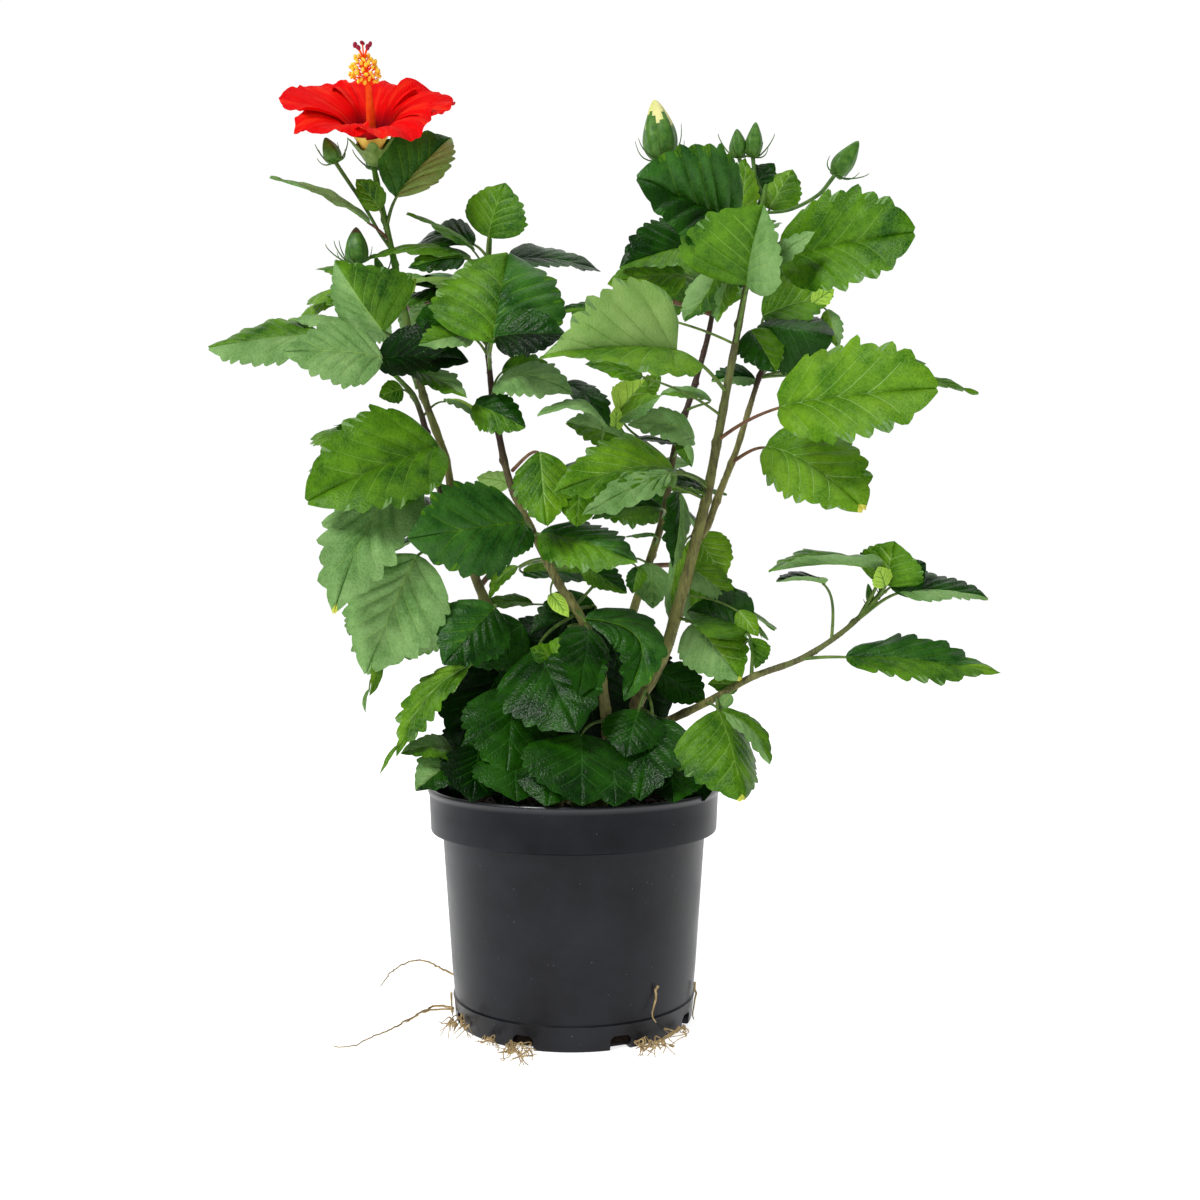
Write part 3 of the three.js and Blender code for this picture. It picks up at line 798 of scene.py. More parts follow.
@dataclass(frozen=True)
class Limb:
    """A stem or bough: its radius at each end and its route, with the marks of old leaves."""

    name: str
    foot: float
    tip: float
    route: tuple
    parent: str = ""
    sides: int = 18
    ring: float = 1.4
    flare: float = 0.45
    flare_length: float = 14.0
    node_gap: float = 23.0
    node_swell: float = 0.10
    ridge_height: float = 0.022
    grain: float = 0.035
    youth: float = 1.0
    dark: bool = False

    def path(self, spacing: float) -> Array:
        """Return evenly spaced points along the limb, in millimetres."""
        return smooth_path(place(self.route), spacing)

    def radius(self, share: Array, length: float) -> Array:
        """Return the plain radius at each share of the length, with the flare at the soil."""
        plain = self.foot + (self.tip - self.foot) * share
        if self.parent:
            return plain
        near = np.clip(1 - share * length / self.flare_length, 0, 1)
        return plain * (1 + self.flare * near**2)

    def skin(self, onto: Skin, rng: Rng, cell: int, cells: int) -> None:
        """Add the limb's skin, with swollen nodes, leaf scars and ridged bark.

        Args:
            onto: the skin that it is added to.
            rng: the source of chance.
            cell: the number of its cell in the bake atlas.
            cells: how many cells the atlas holds.
        """
        path = self.path(self.ring)
        tangents, first, second = path_frames(path)
        share = np.linspace(0, 1, len(path))
        length = float(np.linalg.norm(np.diff(path, axis=0), axis=1).sum())
        angle = np.linspace(0, math.tau, self.sides, endpoint=False)
        radius = np.repeat(self.radius(share, length)[:, None], self.sides, axis=1)
        walked = share * length
        ridges = sum(
            np.sin(order * angle + phase + walked[:, None] * drift)
            for order, phase, drift in ((3, 0.4, 0.03), (5, 1.9, -0.05), (8, 4.0, 0.11)))
        radius *= 1 + self.ridge_height * ridges
        radius *= 1 + 0.035 * np.sin(walked / 3.1 + rng.uniform(0, 6))[:, None]
        mark = rng.uniform(8, 16)
        facing = rng.uniform(0, math.tau)
        while mark < length - 6:
            gap = walked - mark
            swell = np.exp(-((gap / 3.0) ** 2))[:, None]
            turn = np.angle(np.exp(1j * (angle - facing)))
            scar = np.exp(-((turn / 0.55) ** 2)) * np.exp(-((gap[:, None] / 1.7) ** 2))
            radius += swell * self.node_swell * radius + scar * min(0.9, 0.26 * self.foot)
            mark += self.node_gap * rng.uniform(0.7, 1.25) * (0.6 + 0.5 * self.foot / 4)
            facing += GOLDEN_ANGLE
        radius += rng.normal(0, self.grain, radius.shape)
        rings = path[:, None] + radius[..., None] * (
            np.cos(angle)[:, None] * first[:, None] + np.sin(angle)[:, None] * second[:, None])
        tip = path[-1] + tangents[-1] * radius[-1].mean()
        onto.add_rings(rings, (path[0], tip), int(self.dark), np.clip(share * self.youth, 0, 1), cell, cells)


LIMBS = (
    Limb("stem_left", 4.0, 1.3, (
        (-12, 121, -4), (-17, 150, -8), (-30, 190, -14), (-46, 228, -20), (-58, 256, -24), (-67, 280, -26),
        (-76, 301, -27), (-82, 320, -28), (-89, 350, -30), (-94, 362, -32), (-101, 370, -34),
        (-110, 379, -36)), dark=True),
    Limb("stem_middle", 3.3, 1.2, (
        (15, 121, -15), (19, 155, -21), (17, 190, -26), (11, 217, -29), (1, 237, -31), (-8, 250, -32),
        (-18, 270, -33), (-28, 290, -33), (-37, 310, -32), (-45, 345, -30), (-49, 373, -28), (-51, 410, -24),
        (-49, 453, -21)), dark=True),
    Limb("stem_right", 4.6, 1.2, (
        (2, 121, -3), (14, 145, -6), (28, 168, -10), (37, 183, -14), (46, 198, -17), (54, 215, -20),
        (60, 235, -22), (66, 256, -24), (70, 272, -25), (78, 305, -25), (85, 342, -24), (92, 380, -22),
        (97, 407, -20), (104, 445, -15), (112, 484, -10))),
    Limb("stem_rear_right", 3.2, 1.4, (
        (9, 121, 10), (12, 150, 14), (20, 185, 20), (38, 247, 30), (52, 290, 36), (59, 331, 42),
        (71, 370, 48), (80, 405, 53), (84, 445, 58)), dark=True),
    Limb("stem_rear", 2.8, 1.3, (
        (-4, 121, 11), (-8, 160, 24), (-9, 205, 42), (-7, 255, 62), (0, 296, 78), (4, 318, 86))),
    Limb("branch_flower", 2.5, 1.6, (
        (-62, 267, -25), (-66, 285, -17), (-71, 303, -13), (-75, 325, -13), (-82, 345, -15), (-88, 362, -17),
        (-94, 385, -18), (-99, 412, -18), (-107, 450, -20), (-112, 472, -20), (-116.5, 494, -20)),
        "stem_left", youth=1.5),
    Limb("branch_right", 2.3, 1.1, (
        (74, 279, -25), (79, 288, -18), (84, 302, -13), (90, 317, -8), (95, 330, -4), (99, 343, 0),
        (107, 369, 8), (117, 398, 15), (124, 418, 18)), "stem_right", dark=True),
    Limb("branch_low", 2.8, 1.2, (
        (9, 137, -5), (21, 147, -13), (36, 160, -24), (50, 169, -31), (77, 182, -37), (104, 197, -43),
        (134, 208.5, -47), (160, 226, -49), (174, 240, -50), (181, 249, -50)), "stem_right"),
)
LIMB_PATHS = {limb.name: limb.path(spacing=2.0) for limb in LIMBS}


@dataclass
class Limbs:
    """All stems and boughs, as one mesh of ridged bark with pores."""

    pore_density: float = 52000.0
    pore_small: float = 0.00022
    pore_large: float = 0.0005
    pore_height: float = 0.55

    def build(self) -> None:
        """Make the bark of the stems and the pores on it."""
        rng = np.random.default_rng(SEED)
        bark = BarkFinish("stem_bark").make()
        ripe = BarkFinish("stem_bark_dark", upper=(0.050, 0.026, 0.020)).make()
        skin = Skin()
        for index, limb in enumerate(LIMBS):
            limb.skin(skin, rng, index, len(LIMBS))
        piece = skin.build("stems_bark", [bark, ripe])
        pores = scatter(
            "stem_pores", piece.data.copy(), GrainFinish(
                "pore_cork", (0.10, 0.075, 0.04), (0.30, 0.24, 0.13), 900.0, 0.8, 0.2).make(),
            self.pore_density, self.pore_small, self.pore_large, self.pore_height)
        hand_in(piece, Slot.BARK, *(limb.name for limb in LIMBS))
        hand_in(pores, Slot.BARK)


# ---------- leaves


TEETH = ((30, 8), (20, 7), (12, 5), (0, 0))
# Veins and undersides follow their leaf's tint: on N, D and M leaves they take darker greens than V and U,
# carrying the painted shade onto them, and on B and P leaves the veins take L, a green lightened by painted
# light.
VEIN_TINTS = {"N": "D", "D": "W", "M": "G", "B": "L", "P": "L"}
BACK_TINTS = {"N": "D", "D": "M", "M": "G"}


@dataclass
class Leaf:
    """One leaf: its blade, and where its stalk starts.

    base and tip are the blade's ends: places on the elevation or, where normal says which way its upper
    face looks, points of the row frame. tilt says how far the upper and the lower half are turned away
    from the eye: at 0 a half shows its upper face, at 90 its edge and beyond that its underside. tints are
    the letters of the upper and the lower half; they paint light and shade besides colour, a lit half taking
    a brighter letter and a shaded half a darker one. tip_tint colours the share of the blade beyond
    tip_from.
    One tilt or one letter serves for both halves. foot is where the stalk leaves the limb, on the
    elevation; None takes the nearest stretch. arch and bow are how far the midrib rises and swerves, as a
    share of the length. shoulder is small for a broad round foot and near one for a wedge; taper is small
    for a blunt end and large for a drawn-out one. brown gives it a brown stalk. ripple waves the margin,
    and quilt puffs the blade up between the veins.
    """

    base: tuple
    tip: tuple
    width: float
    tilt: tuple | float
    tints: str
    foot: tuple | None = None
    brown: bool = False
    arch: float = 0.06
    bow: float = 0.0
    tip_tint: str = ""
    tip_from: float = 0.965
    normal: tuple | None = None
    teeth: int | None = None
    shoulder: float = 0.58
    taper: float = 0.98
    ripple: float = 1.0
    quilt: float | None = None

    def __post_init__(self) -> None:
        """Give both halves their tilt and tint, and fill in the teeth and the quilting."""
        self.tilt = self.tilt if isinstance(self.tilt, tuple) else (self.tilt, self.tilt)
        self.tints = (self.tints * 2)[:2]
        if self.teeth is None:
            self.teeth = next(teeth for least, teeth in TEETH if self.width >= least)
        if self.quilt is None:
            self.quilt = 0.6 if set(self.tints) <= set("DN") else 1.0


@dataclass
class LeafMaker:
    """Turns leaves into thin, closed, toothed and veined blades."""

    thickness: float = 0.42
    midrib: float = 0.55
    vein_rows: tuple = (0.30, 0.47, 0.62, 0.75, 0.86)
    vein_reach: float = 0.8
    vein_height: float = 0.16
    groove: float = 0.06
    first_tooth: float = 0.13
    last_tooth: float = 0.972
    tooth_shape: tuple = ((0.0, 0.0), (0.26, 0.60), (0.56, 1.0), (0.82, 0.66))
    tooth_size: float = 0.07
    columns: tuple = (0.06, 0.2, 0.4, 0.6, 0.8, 1.0)
    rise: float = 2.7
    cup: float = -14.0

    def outline(self, t: Array, shoulder: float, taper: float) -> Array:
        """Return the half width at each share of the margin, at most one."""
        widest = shoulder / (shoulder + taper)
        top = widest**shoulder * (1 - widest) ** taper
        return np.clip(t, 0, 1) ** shoulder * np.clip(1 - t, 0, 1) ** taper / top

    def arc(self, share: Array) -> Array:
        """Return how high the midrib stands at each share of its length, at most one."""
        return np.sin(math.pi * np.clip(share, 0, 1) ** 0.85)

    def stations(self, teeth: int) -> tuple[Array, ...]:
        """Lay out the rows of a blade.

        Args:
            teeth: how many teeth each margin has, or nought for a plain margin.

        Returns:
            The share of each row, its shift beside a vein, its tooth height, and the number of its tooth.
        """
        steps, reach = max(teeth, 5), self.last_tooth - self.first_tooth
        rows = [(t, 0.0, 0) for t in (0.012, 0.05, 0.09)]
        rows += [(self.first_tooth + (tooth + phase) / steps * reach, height if teeth else 0.0, tooth)
                 for tooth in range(steps) for phase, height in self.tooth_shape]
        rows += [(t, 0.0, steps - 1) for t in (self.last_tooth, 0.992)]
        peaks = [row for row in rows if row[1] == 1.0 or not teeth]
        veined = {min(peaks, key=lambda row: abs(row[0] - vein)) for vein in self.vein_rows}
        laid = [(row[0], shift, *row[1:]) for row in rows for shift in ((-1, 1) if row in veined else (0,))]
        return tuple(np.array(column, float) for column in zip(*laid))

    def frame_of(self, leaf: Leaf) -> tuple:
        """Work out where a blade lies.

        Args:
            leaf: the leaf.

        Returns:
            The blade's base, chord, length, upper normal, sideways direction and the fold of its halves.
        """
        seen = leaf.normal is None
        base, tip = (place(end) if seen else np.array(end) for end in (leaf.base, leaf.tip))
        length = float(np.linalg.norm(tip - base))
        chord = (tip - base) / length
        if seen:
            sight = EYE - (base + tip) / 2
            sight = unit(sight - chord * float(sight @ chord))
            beside = np.cross(sight, chord)
            if beside[2] < -0.15 or (abs(beside[2]) <= 0.15 and beside[0] < 0):
                beside = -beside
            roll = math.radians(sum(leaf.tilt) / 2)
            normal = math.cos(roll) * sight + math.sin(roll) * beside
            side = math.cos(roll) * beside - math.sin(roll) * sight
        else:
            normal = np.array(leaf.normal)
            normal = unit(normal - chord * float(normal @ chord))
            side = np.cross(chord, normal)
        return base, chord, length, normal, side, math.radians(leaf.tilt[1] - leaf.tilt[0]) / 2

    def grid(self, leaf: Leaf, rng: Rng) -> tuple[Array, ...]:
        """Shape a blade.

        Args:
            leaf: the leaf.
            rng: the source of chance.

        Returns:
            The points of the upper and the lower face, the shares along and across, and the veins' sides.
        """
        base, chord, length, normal, side, fold = self.frame_of(leaf)
        half = leaf.width / 2
        t, beside_vein, tooth, number = self.stations(leaf.teeth)
        s = np.array([-c for c in reversed(self.columns)] + [0.0] + list(self.columns))
        T, S = np.meshgrid(t, s, indexing="ij")
        reach, shift, left = np.abs(S), beside_vein[:, None], S < 0
        strip = 0.30 / length * (1 - 0.8 * reach)
        row = np.clip(T + shift * strip, 0.004, 0.996)
        middle = row**self.rise
        along = middle + (row - middle) * reach**0.82
        spread = self.outline(row, leaf.shoulder, leaf.taper)
        on_rib = reach < 0.1
        near = np.minimum(0.55 * (1 - 0.55 * row), 0.12 * half * spread)
        across = np.where((reach > 0) & on_rib, near, half * spread * reach)
        along = np.where(on_rib, middle, along)
        sizes = rng.uniform(0.35, 1.45, (2, int(number.max()) + 1))
        tall = np.where(left, *sizes[:, number.astype(int), None])
        bite = self.tooth_size * tooth[:, None] * tall * np.clip(row * 6 - 0.5, 0.3, 1)
        bite = bite * np.clip((1 - row) * 4, 0.2, 1) * reach**7
        a = np.clip(along + bite * 0.26, 0, 1.02)
        across = across + bite * length * 0.62 * np.clip(spread * 2.2, 0.25, 1)
        rise = np.where(a < 1, self.arc(a), 0.0)
        step = 0.01
        slope = ((self.arc(a + step) - self.arc(a - step)) / (2 * step))[..., None]
        tangent = chord + leaf.arch * slope * normal + leaf.bow * slope * side
        tangent /= np.linalg.norm(tangent, axis=-1)[..., None]
        n = normal - tangent * (normal * tangent).sum(-1)[..., None]
        n /= np.linalg.norm(n, axis=-1)[..., None]
        w = np.cross(tangent, n)
        w *= np.sign((w * side).sum(-1))[..., None]
        cup = math.radians(self.cup) * rng.uniform(0.6, 1.5) / max(half, 1)
        end = fold + cup * across
        out = (np.sin(end) - math.sin(fold)) / cup * np.sign(S)
        up = (math.cos(fold) - np.cos(end)) / cup
        phases = rng.uniform(0, math.tau, 4)
        up = up + leaf.ripple * length / 60 * reach**2.2 * (
            np.sin(a * math.tau * 1.6 + np.where(left, phases[0], phases[1]))
            + 0.5 * np.sin(a * math.tau * 3.7 + np.where(left, phases[2], phases[3])))
        marks = sorted({0.0, 1.0, *np.round(t[beside_vein != 0], 5)})
        quilt = np.zeros_like(row)
        for low, high in zip(marks, marks[1:]):
            between = np.clip((row - low) / (high - low), 0, 1)
            quilt = np.where((row >= low) & (row <= high), np.sin(math.pi * between) ** 0.6, quilt)
        puff = leaf.quilt * min(1.0, length / 70) * 1.7 * quilt
        puff = puff * np.sin(math.pi * np.clip(reach, 0, 1) ** 0.8)
        local = np.cos(end)[..., None] * n - (np.sin(end) * np.sign(S))[..., None] * w
        top = base + chord * (a * length)[..., None] + normal * (leaf.arch * length * rise)[..., None]
        top = top + side * (leaf.bow * length * rise)[..., None]
        top = top + w * out[..., None] + n * up[..., None] + local * puff[..., None]
        veined = (shift != 0) & (reach < self.vein_reach)
        rib = self.midrib * (length / 75) * (1.1 - row) * on_rib * np.where(reach == 0, 1.0, 0.25)
        thick = self.thickness * (1 - reach**5) + 0.05 + rib + self.vein_height * veined
        bottom = top - local * thick[..., None]
        return top - local * (self.groove * ((reach == 0) | veined))[..., None], bottom, row, S, beside_vein

    def add(self, onto: Skin, leaf: Leaf, rng: Rng, cell: int, cells: int) -> None:
        """Add one blade to a spray.

        Args:
            onto: the spray's skin.
            leaf: the leaf.
            rng: the source of chance.
            cell: the number of the first of its two cells in the bake atlas.
            cells: how many cells the atlas holds.
        """
        top, bottom, t, s, vein = self.grid(leaf, rng)
        along = (t[:-1, :-1] + t[1:, 1:]) / 2
        across = (s[:-1, :-1] + s[1:, 1:]) / 2
        body, under, rib = (
            np.where(across > 0, *(TINT_SLOTS[tints.get(half, other or half)] for half in leaf.tints))
            for tints, other in (({}, ""), (BACK_TINTS, "U"), (VEIN_TINTS, "V")))
        if leaf.tip_tint:
            beyond = along > leaf.tip_from
            body = np.where(beyond, TINT_SLOTS[leaf.tip_tint], body)
            if leaf.tip_tint == Tint.WITHERED.value:
                under = np.where(beyond, TINT_SLOTS[leaf.tip_tint], under)
        lateral = ((vein[:-1] < 0) & (vein[1:] > 0))[:, None] & (np.abs(across) < 0.82)
        ribbed = lateral | (np.abs(across) < 0.07) & (along < 0.9)
        body = np.where(ribbed, rib, body)
        under = np.where(ribbed, TINT_SLOTS[Tint.VEIN.value], under)
        onto.add_sheet(top, bottom, stacked(t, (s + 1) / 2), body, under, cell, cells)


# ---------- the crown


@dataclass(frozen=True)
class Mass:
    """One mass of foliage: the CAD node it stands for, the limb that bears it and its leaves."""

    name: str
    limb: str
    leaves: tuple


MASSES = (
    Mass("left_top", "branch_flower", (
        Leaf((-111, 399, -44), (-140, 441, -66), 60, (5, -52), "GP", arch=.05, shoulder=.42, taper=1.15,
             foot=(-97, 392, -18)),
        Leaf((-113, 383, -40), (-61, 382, -56), 34, (5, 62), "N", foot=(-93, 376, -18)),
        Leaf((-100, 420, -20), (-92, 430, -20), 8, 20, "Y"))),
    Mass("left_reach", "stem_left", (
        Leaf((-112, 384, -44), (-170, 387, -60), 42, (34, 44), "P", foot=(-108, 377, -36)),
        Leaf((-148, 397, -30), (-214, 389, -24), 42, 58, "GP", arch=.03, shoulder=.75,
             foot=(-108, 380, -36)),
        Leaf((-128, 402, -30), (-167, 406, -20), 12, 60, "P", foot=(-108, 380, -36)),
        Leaf((-100, 366, -36), (-114, 361, -40), 14, 20, "G"))),
    Mass("left_spur", "branch_flower", (
        Leaf((-119, 462, -32), (-178, 489, -46), 24, (66, 96), "U", foot=(-108, 452, -20), brown=True),)),
    Mass("bloom_shoot", "branch_flower", (
        Leaf((-104, 477, -26), (-71, 512, -12), 45, (0, 66), "ML", foot=(-108, 460, -20)),
        Leaf((-113, 470, -28), (-127, 488, -34), 16, (0, 40), "GB"))),
    Mass("left_shoulder", "stem_left", (
        Leaf((-79, 332, -42), (-157, 299, -74), 60, (8, 50), "G", shoulder=.5, taper=.8,
             foot=(-79, 318, -28)),)),
    Mass("left_hanging", "stem_left", (
        Leaf((-92, 318, -36), (-141, 233, -84), 43, (15, 25), "P", bow=.06, tip_tint="E",
             foot=(-78, 306, -27)),
        Leaf((-92, 317, -58), (-101, 295, -66), 16, (10, 40), "YG"))),
    Mass("left_low", "stem_left", (
        Leaf((-92, 269, -50), (-122, 198, -60), 55, (15, 10), "P", foot=(-64, 270, -25)),
        Leaf((-118, 212, -58), (-120, 186, -60), 9, (20, 60), "GB", bow=.1, foot=(-112, 216, -58)),
        Leaf((-120, 190, -60), (-122, 176, -58), 2.5, 20, "P", bow=-.15, foot=(-119, 196, -59)))),
    Mass("left_front", "stem_middle", (
        Leaf((-29, 288, -52), (-98, 278, -100), 50, (10, 5), "M", shoulder=.7, foot=(-24, 282, -33)),
        Leaf((-28, 288, -38), (-48, 266, -50), 24, (10, 20), "PM"),
        Leaf((-36, 310, -30), (-57, 314, -20), 14, 30, "L"))),
    Mass("middle_top", "stem_middle", (
        Leaf((-48, 392, -62), (-38, 445, -34), 72, (6, 14), "GM", quilt=1.5, shoulder=.48, taper=.8,
             foot=(-50, 380, -27)),
        Leaf((-44, 404, -46), (-10, 420, -40), 24, (30, 50), "B"),
        Leaf((-46, 396, -66), (-4, 397, -74), 30, (20, 50), "DN"),
        Leaf((-66, 404, -40), (-93, 405, -50), 26, (20, 40), "D"),
        Leaf((-60, 396, -46), (-91, 391, -66), 20, (40, 60), "GP"),
        Leaf((-94, 376, -40), (-62, 360, -56), 18, (40, 60), "PG", foot=(-92, 366, -20)))),
    Mass("middle_left", "stem_middle", (
        Leaf((-58, 450, -20), (-93, 448, 0), 26, (50, 70), "D", arch=.18),
        Leaf((-58, 446, -24), (-98, 468, -30), 14, 75, "PG"),
        Leaf((-60, 441, -22), (-122, 441, -30), 24, 78, "G", arch=.12),
        Leaf((-64, 442, -30), (-97, 436, -38), 22, (50, 60), "GD"))),
    Mass("middle_tip", "stem_middle", (
        Leaf((-50, 454, -24), (-40, 486, -30), 40, 30, "G"),)),
    Mass("middle_wing", "stem_middle", (
        Leaf((-38, 441, -12), (16, 434, 8), 34, (55, 88), "D", arch=.06),)),
    Mass("middle_low", "stem_middle", (
        Leaf((-46, 367, -34), (0, 362, -52), 34, (50, 60), "P", arch=.2),
        Leaf((-8, 368, -30), (21, 343, -44), 22, (40, 70), "D", arch=.15),
        Leaf((18, 343, -48), (-22, 350, -60), 16, (60, 80), "P", arch=.25),
        Leaf((-42, 376, -30), (-15, 381, -34), 16, 30, "G"),
        Leaf((-58, 357, -36), (-28, 343, -50), 23, (10, 20), "DG", ripple=2.0),
        Leaf((-76, 359, -10), (-50, 340, -24), 12, (60, 70), "YP", arch=.15, foot=(-88, 350, -17)))),
    Mass("centre", "stem_right", (
        Leaf((58, 318, -46), (-13, 304, -88), 38, (24, 50), "BG", arch=.12),
        Leaf((56, 316, -64), (4, 291, -100), 18, 30, "P", arch=.06),
        Leaf((3, 316, -60), (1, 285, -78), 28, 15, "G"),
        Leaf((-20, 329, -60), (-16, 285, -84), 32, (15, -15), "BG", foot=(-36, 318, -32), brown=True),
        Leaf((76, 305, -28), (48, 311, -44), 20, (50, 80), "D", arch=.15),
        Leaf((61, 306, -14), (57, 261, -30), 22, 50, "PD"),
        Leaf((64, 275, -6), (56, 228, -10), 16, (50, 60), "PB"))),
    Mass("centre_low", "stem_middle", (
        Leaf((-20, 281, -48), (38, 264, -84), 34, (45, 35), "MG"),)),
    Mass("centre_high", "stem_rear_right", (
        Leaf((51, 296, 10), (10, 290, 0), 20, (40, 60), "DG", arch=.1),
        Leaf((48, 280, 20), (30, 279, 30), 8, 70, "P"),
        Leaf((62, 335, 24), (69, 320, 10), 10, 20, "PG"),
        Leaf((26, 352, 18), (42, 371, 8), 24, 10, "YB"),
        Leaf((40, 364, 20), (51, 373, 14), 12, 10, "B"),
        Leaf((24, 341, 16), (25, 356, 10), 10, 10, "Y"),
        Leaf((26, 347, 14), (52, 362, 2), 14, (30, 50), "BP"),
        Leaf((80, 359, 20), (50, 362, 10), 20, (60, 80), "PG", arch=.12),
        Leaf((70, 335, 34), (31, 345, 20), 26, (35, 55), "P", arch=.2),
        Leaf((60, 333, 28), (31, 335, 18), 14, (60, 90), "D"),
        Leaf((30, 336, 16), (-5, 346, 4), 26, (35, 50), "PG"))),
    Mass("waist", "stem_middle", (
        Leaf((-30, 258, 10), (20, 254, 0), 22, (40, 70), "GD"),
        Leaf((5, 262, -20), (31, 246, -26), 20, (30, 50), "DG"),
        Leaf((-14, 246, -40), (-3, 232, -46), 10, 20, "Y"),
        Leaf((38, 262, 6), (34, 246, 0), 12, 20, "DG"),
        Leaf((44, 264, 20), (46, 237, 12), 24, 20, "P"),
        Leaf((-33, 262, -22), (-50, 243, -28), 12, (40, 60), "BG", arch=.15),
        Leaf((-24, 240, 4), (-58, 238, -6), 18, (50, 80), "G"))),
    Mass("right_top", "stem_right", (
        Leaf((92, 461, -28), (35, 488, -62), 62, (0, 58), "MD", quilt=2.6, shoulder=.42, taper=.72),
        Leaf((96, 464, -20), (100, 500, -10), 20, 20, "B"))),
    Mass("right_crest", "stem_right", (
        Leaf((114, 470, 0), (128, 493, 6), 26, 20, "BG"),
        Leaf((100, 478, 4), (117, 497, 10), 20, 20, "D"))),
    Mass("right_shoulder", "stem_rear_right", (
        Leaf((72, 449, 40), (26, 436, 26), 40, (15, 70), "DG"),
        Leaf((65, 432, 38), (19, 427, 26), 30, (30, 40), "GB"))),
    Mass("right_pale", "stem_right", (
        Leaf((101, 426, -60), (111, 473, -78), 76, (0, 72), "GP", shoulder=.5, taper=.95),
        Leaf((105, 431, -60), (141, 457, -78), 15, (30, 50), "P"),
        Leaf((84, 436, -20), (64, 405, -30), 26, (30, 50), "PG", arch=-.1),
        Leaf((92, 432, -24), (84, 404, -34), 20, (40, 60), "PB"))),
    Mass("right_crown", "stem_right", (
        Leaf((121, 441, -44), (200, 457, -82), 52, (0, 44), "G", shoulder=.5, taper=.62),)),
    Mass("inner_right", "stem_right", (
        Leaf((60, 388, -60), (-21, 384, -100), 72, (0, 76), "LB", shoulder=.4, taper=1.3,
             foot=(84, 365, -23)),
        Leaf((18, 412, -20), (-9, 411, -10), 14, (50, 70), "DG"),
        Leaf((40, 373, -50), (6, 380, -60), 16, (40, 60), "G"))),
    Mass("right_mid", "branch_right", (
        Leaf((110, 408, 10), (152, 420, 2), 40, (25, 60), "BG"),
        Leaf((139, 415, 0), (152, 424, -6), 12, 20, "Y"),
        Leaf((107, 402, -4), (152, 396, -24), 50, (62, 0), "D", taper=.7),
        Leaf((103, 400, -8), (118, 375, -20), 26, 20, "GD"),
        Leaf((148, 412, 4), (154, 389, -2), 12, 20, "PB"),
        Leaf((106, 371, 20), (80, 370, 10), 20, (35, 70), "DP", arch=.1))),
    Mass("right_side", "stem_right", (
        Leaf((120, 355, -52), (214, 366, -98), 52, (0, 46), "B", shoulder=.5, taper=.64,
             foot=(86, 335, -24), brown=True),)),
    Mass("right_lower", "branch_right", (
        Leaf((112, 332, -24), (170, 294, -64), 48, (10, 45), "B", bow=.05, taper=.8, tip_tint="E",
             foot=(93, 322, -6), brown=True),)),
    Mass("right_low", "stem_right", (
        Leaf((76, 276, 8), (91, 272, 2), 14, 15, "BG"),
        Leaf((71, 280, -4), (88, 254, -10), 30, (10, 30), "B"),
        Leaf((66, 262, -12), (94, 240, -22), 24, (30, 50), "BP", tip_tint="E"),
        Leaf((102, 224, -38), (66, 236, -26), 46, (30, 70), "DG", foot=(104, 198, -43)),
        Leaf((102, 224, -40), (70, 231, -30), 14, 70, "G", foot=(104, 198, -43)),
        Leaf((96, 236, -34), (108, 221, -40), 12, 20, "B"),
        Leaf((103, 220, -44), (106, 202, -48), 20, (20, 85), "G", foot=(96, 192, -41)),
        Leaf((70, 229, -30), (98, 195, -48), 38, (10, 20), "BP", tip_tint="E"),
        Leaf((50, 200, 0), (77, 183, -8), 26, (10, 30), "D"),
        Leaf((96, 192, -30), (78, 193, -36), 12, (20, 40), "BG", foot=(92, 190, -40)),
        Leaf((92, 187, -50), (84, 177, -54), 8, 20, "P", foot=(92, 190, -40)))),
    Mass("branch_upper", "branch_low", (
        Leaf((178, 260, -56), (113, 259, -70), 46, (62, 112), "G", foot=(168, 233, -49)),
        Leaf((147, 252, -58), (118, 253, -66), 24, (60, 108), "DP", foot=(150, 219, -48)),
        Leaf((183, 251, -52), (188, 277, -62), 38, 20, "BG", quilt=2.0, ripple=2.0),
        Leaf((185, 250, -50), (206, 264, -56), 24, (20, 30), "D", quilt=2.0),
        Leaf((182, 250, -58), (178, 262, -66), 12, 20, "Y"),
        Leaf((190, 247, -52), (243, 243, -58), 34, (50, 80), "DP", shoulder=.4, foot=(165, 230, -49)))),
    Mass("branch_lower", "branch_low", (
        Leaf((159, 209, -54), (251, 199, -76), 33, (42, 60), "MG", arch=.04, tip_tint="B", tip_from=.9,
             foot=(134, 207, -47)),)),
    Mass("pot_right", "branch_low", (
        Leaf((84, 178, -66), (99, 124, -94), 60, (60, 5), "G", tip_tint="E"),
        Leaf((86, 177, -62), (115, 145, -78), 16, (40, 60), "GP", bow=.15))),
    # The N leaves here and in pot_left, base_centre and base_right are near-black painted shade: a backing
    # of leaves behind the front ones, where the foot of the crown lies in shade; the D leaves round the rim
    # are darkened by painted shade too.
    Mass("pot_front", "stem_right", (
        Leaf((4, 164, -64), (4, 121, -92), 62, 10, "D"),
        Leaf((38, 178, -56), (30, 150, -74), 34, 10, "D"),
        Leaf((46, 174, -50), (38, 124, -86), 42, (10, 20), "D"),
        Leaf((24, 178, 0), (40, 132, -14), 50, 10, "N"),
        Leaf((-10, 152, -64), (-16, 121, -88), 40, 10, "D"),
        Leaf((22, 154, -66), (24, 121, -89), 40, 10, "D"),
        Leaf((56, 152, -52), (58, 123, -80), 38, 10, "DN"),
        Leaf((66, 156, -30), (76, 124, -46), 34, 10, "N"),
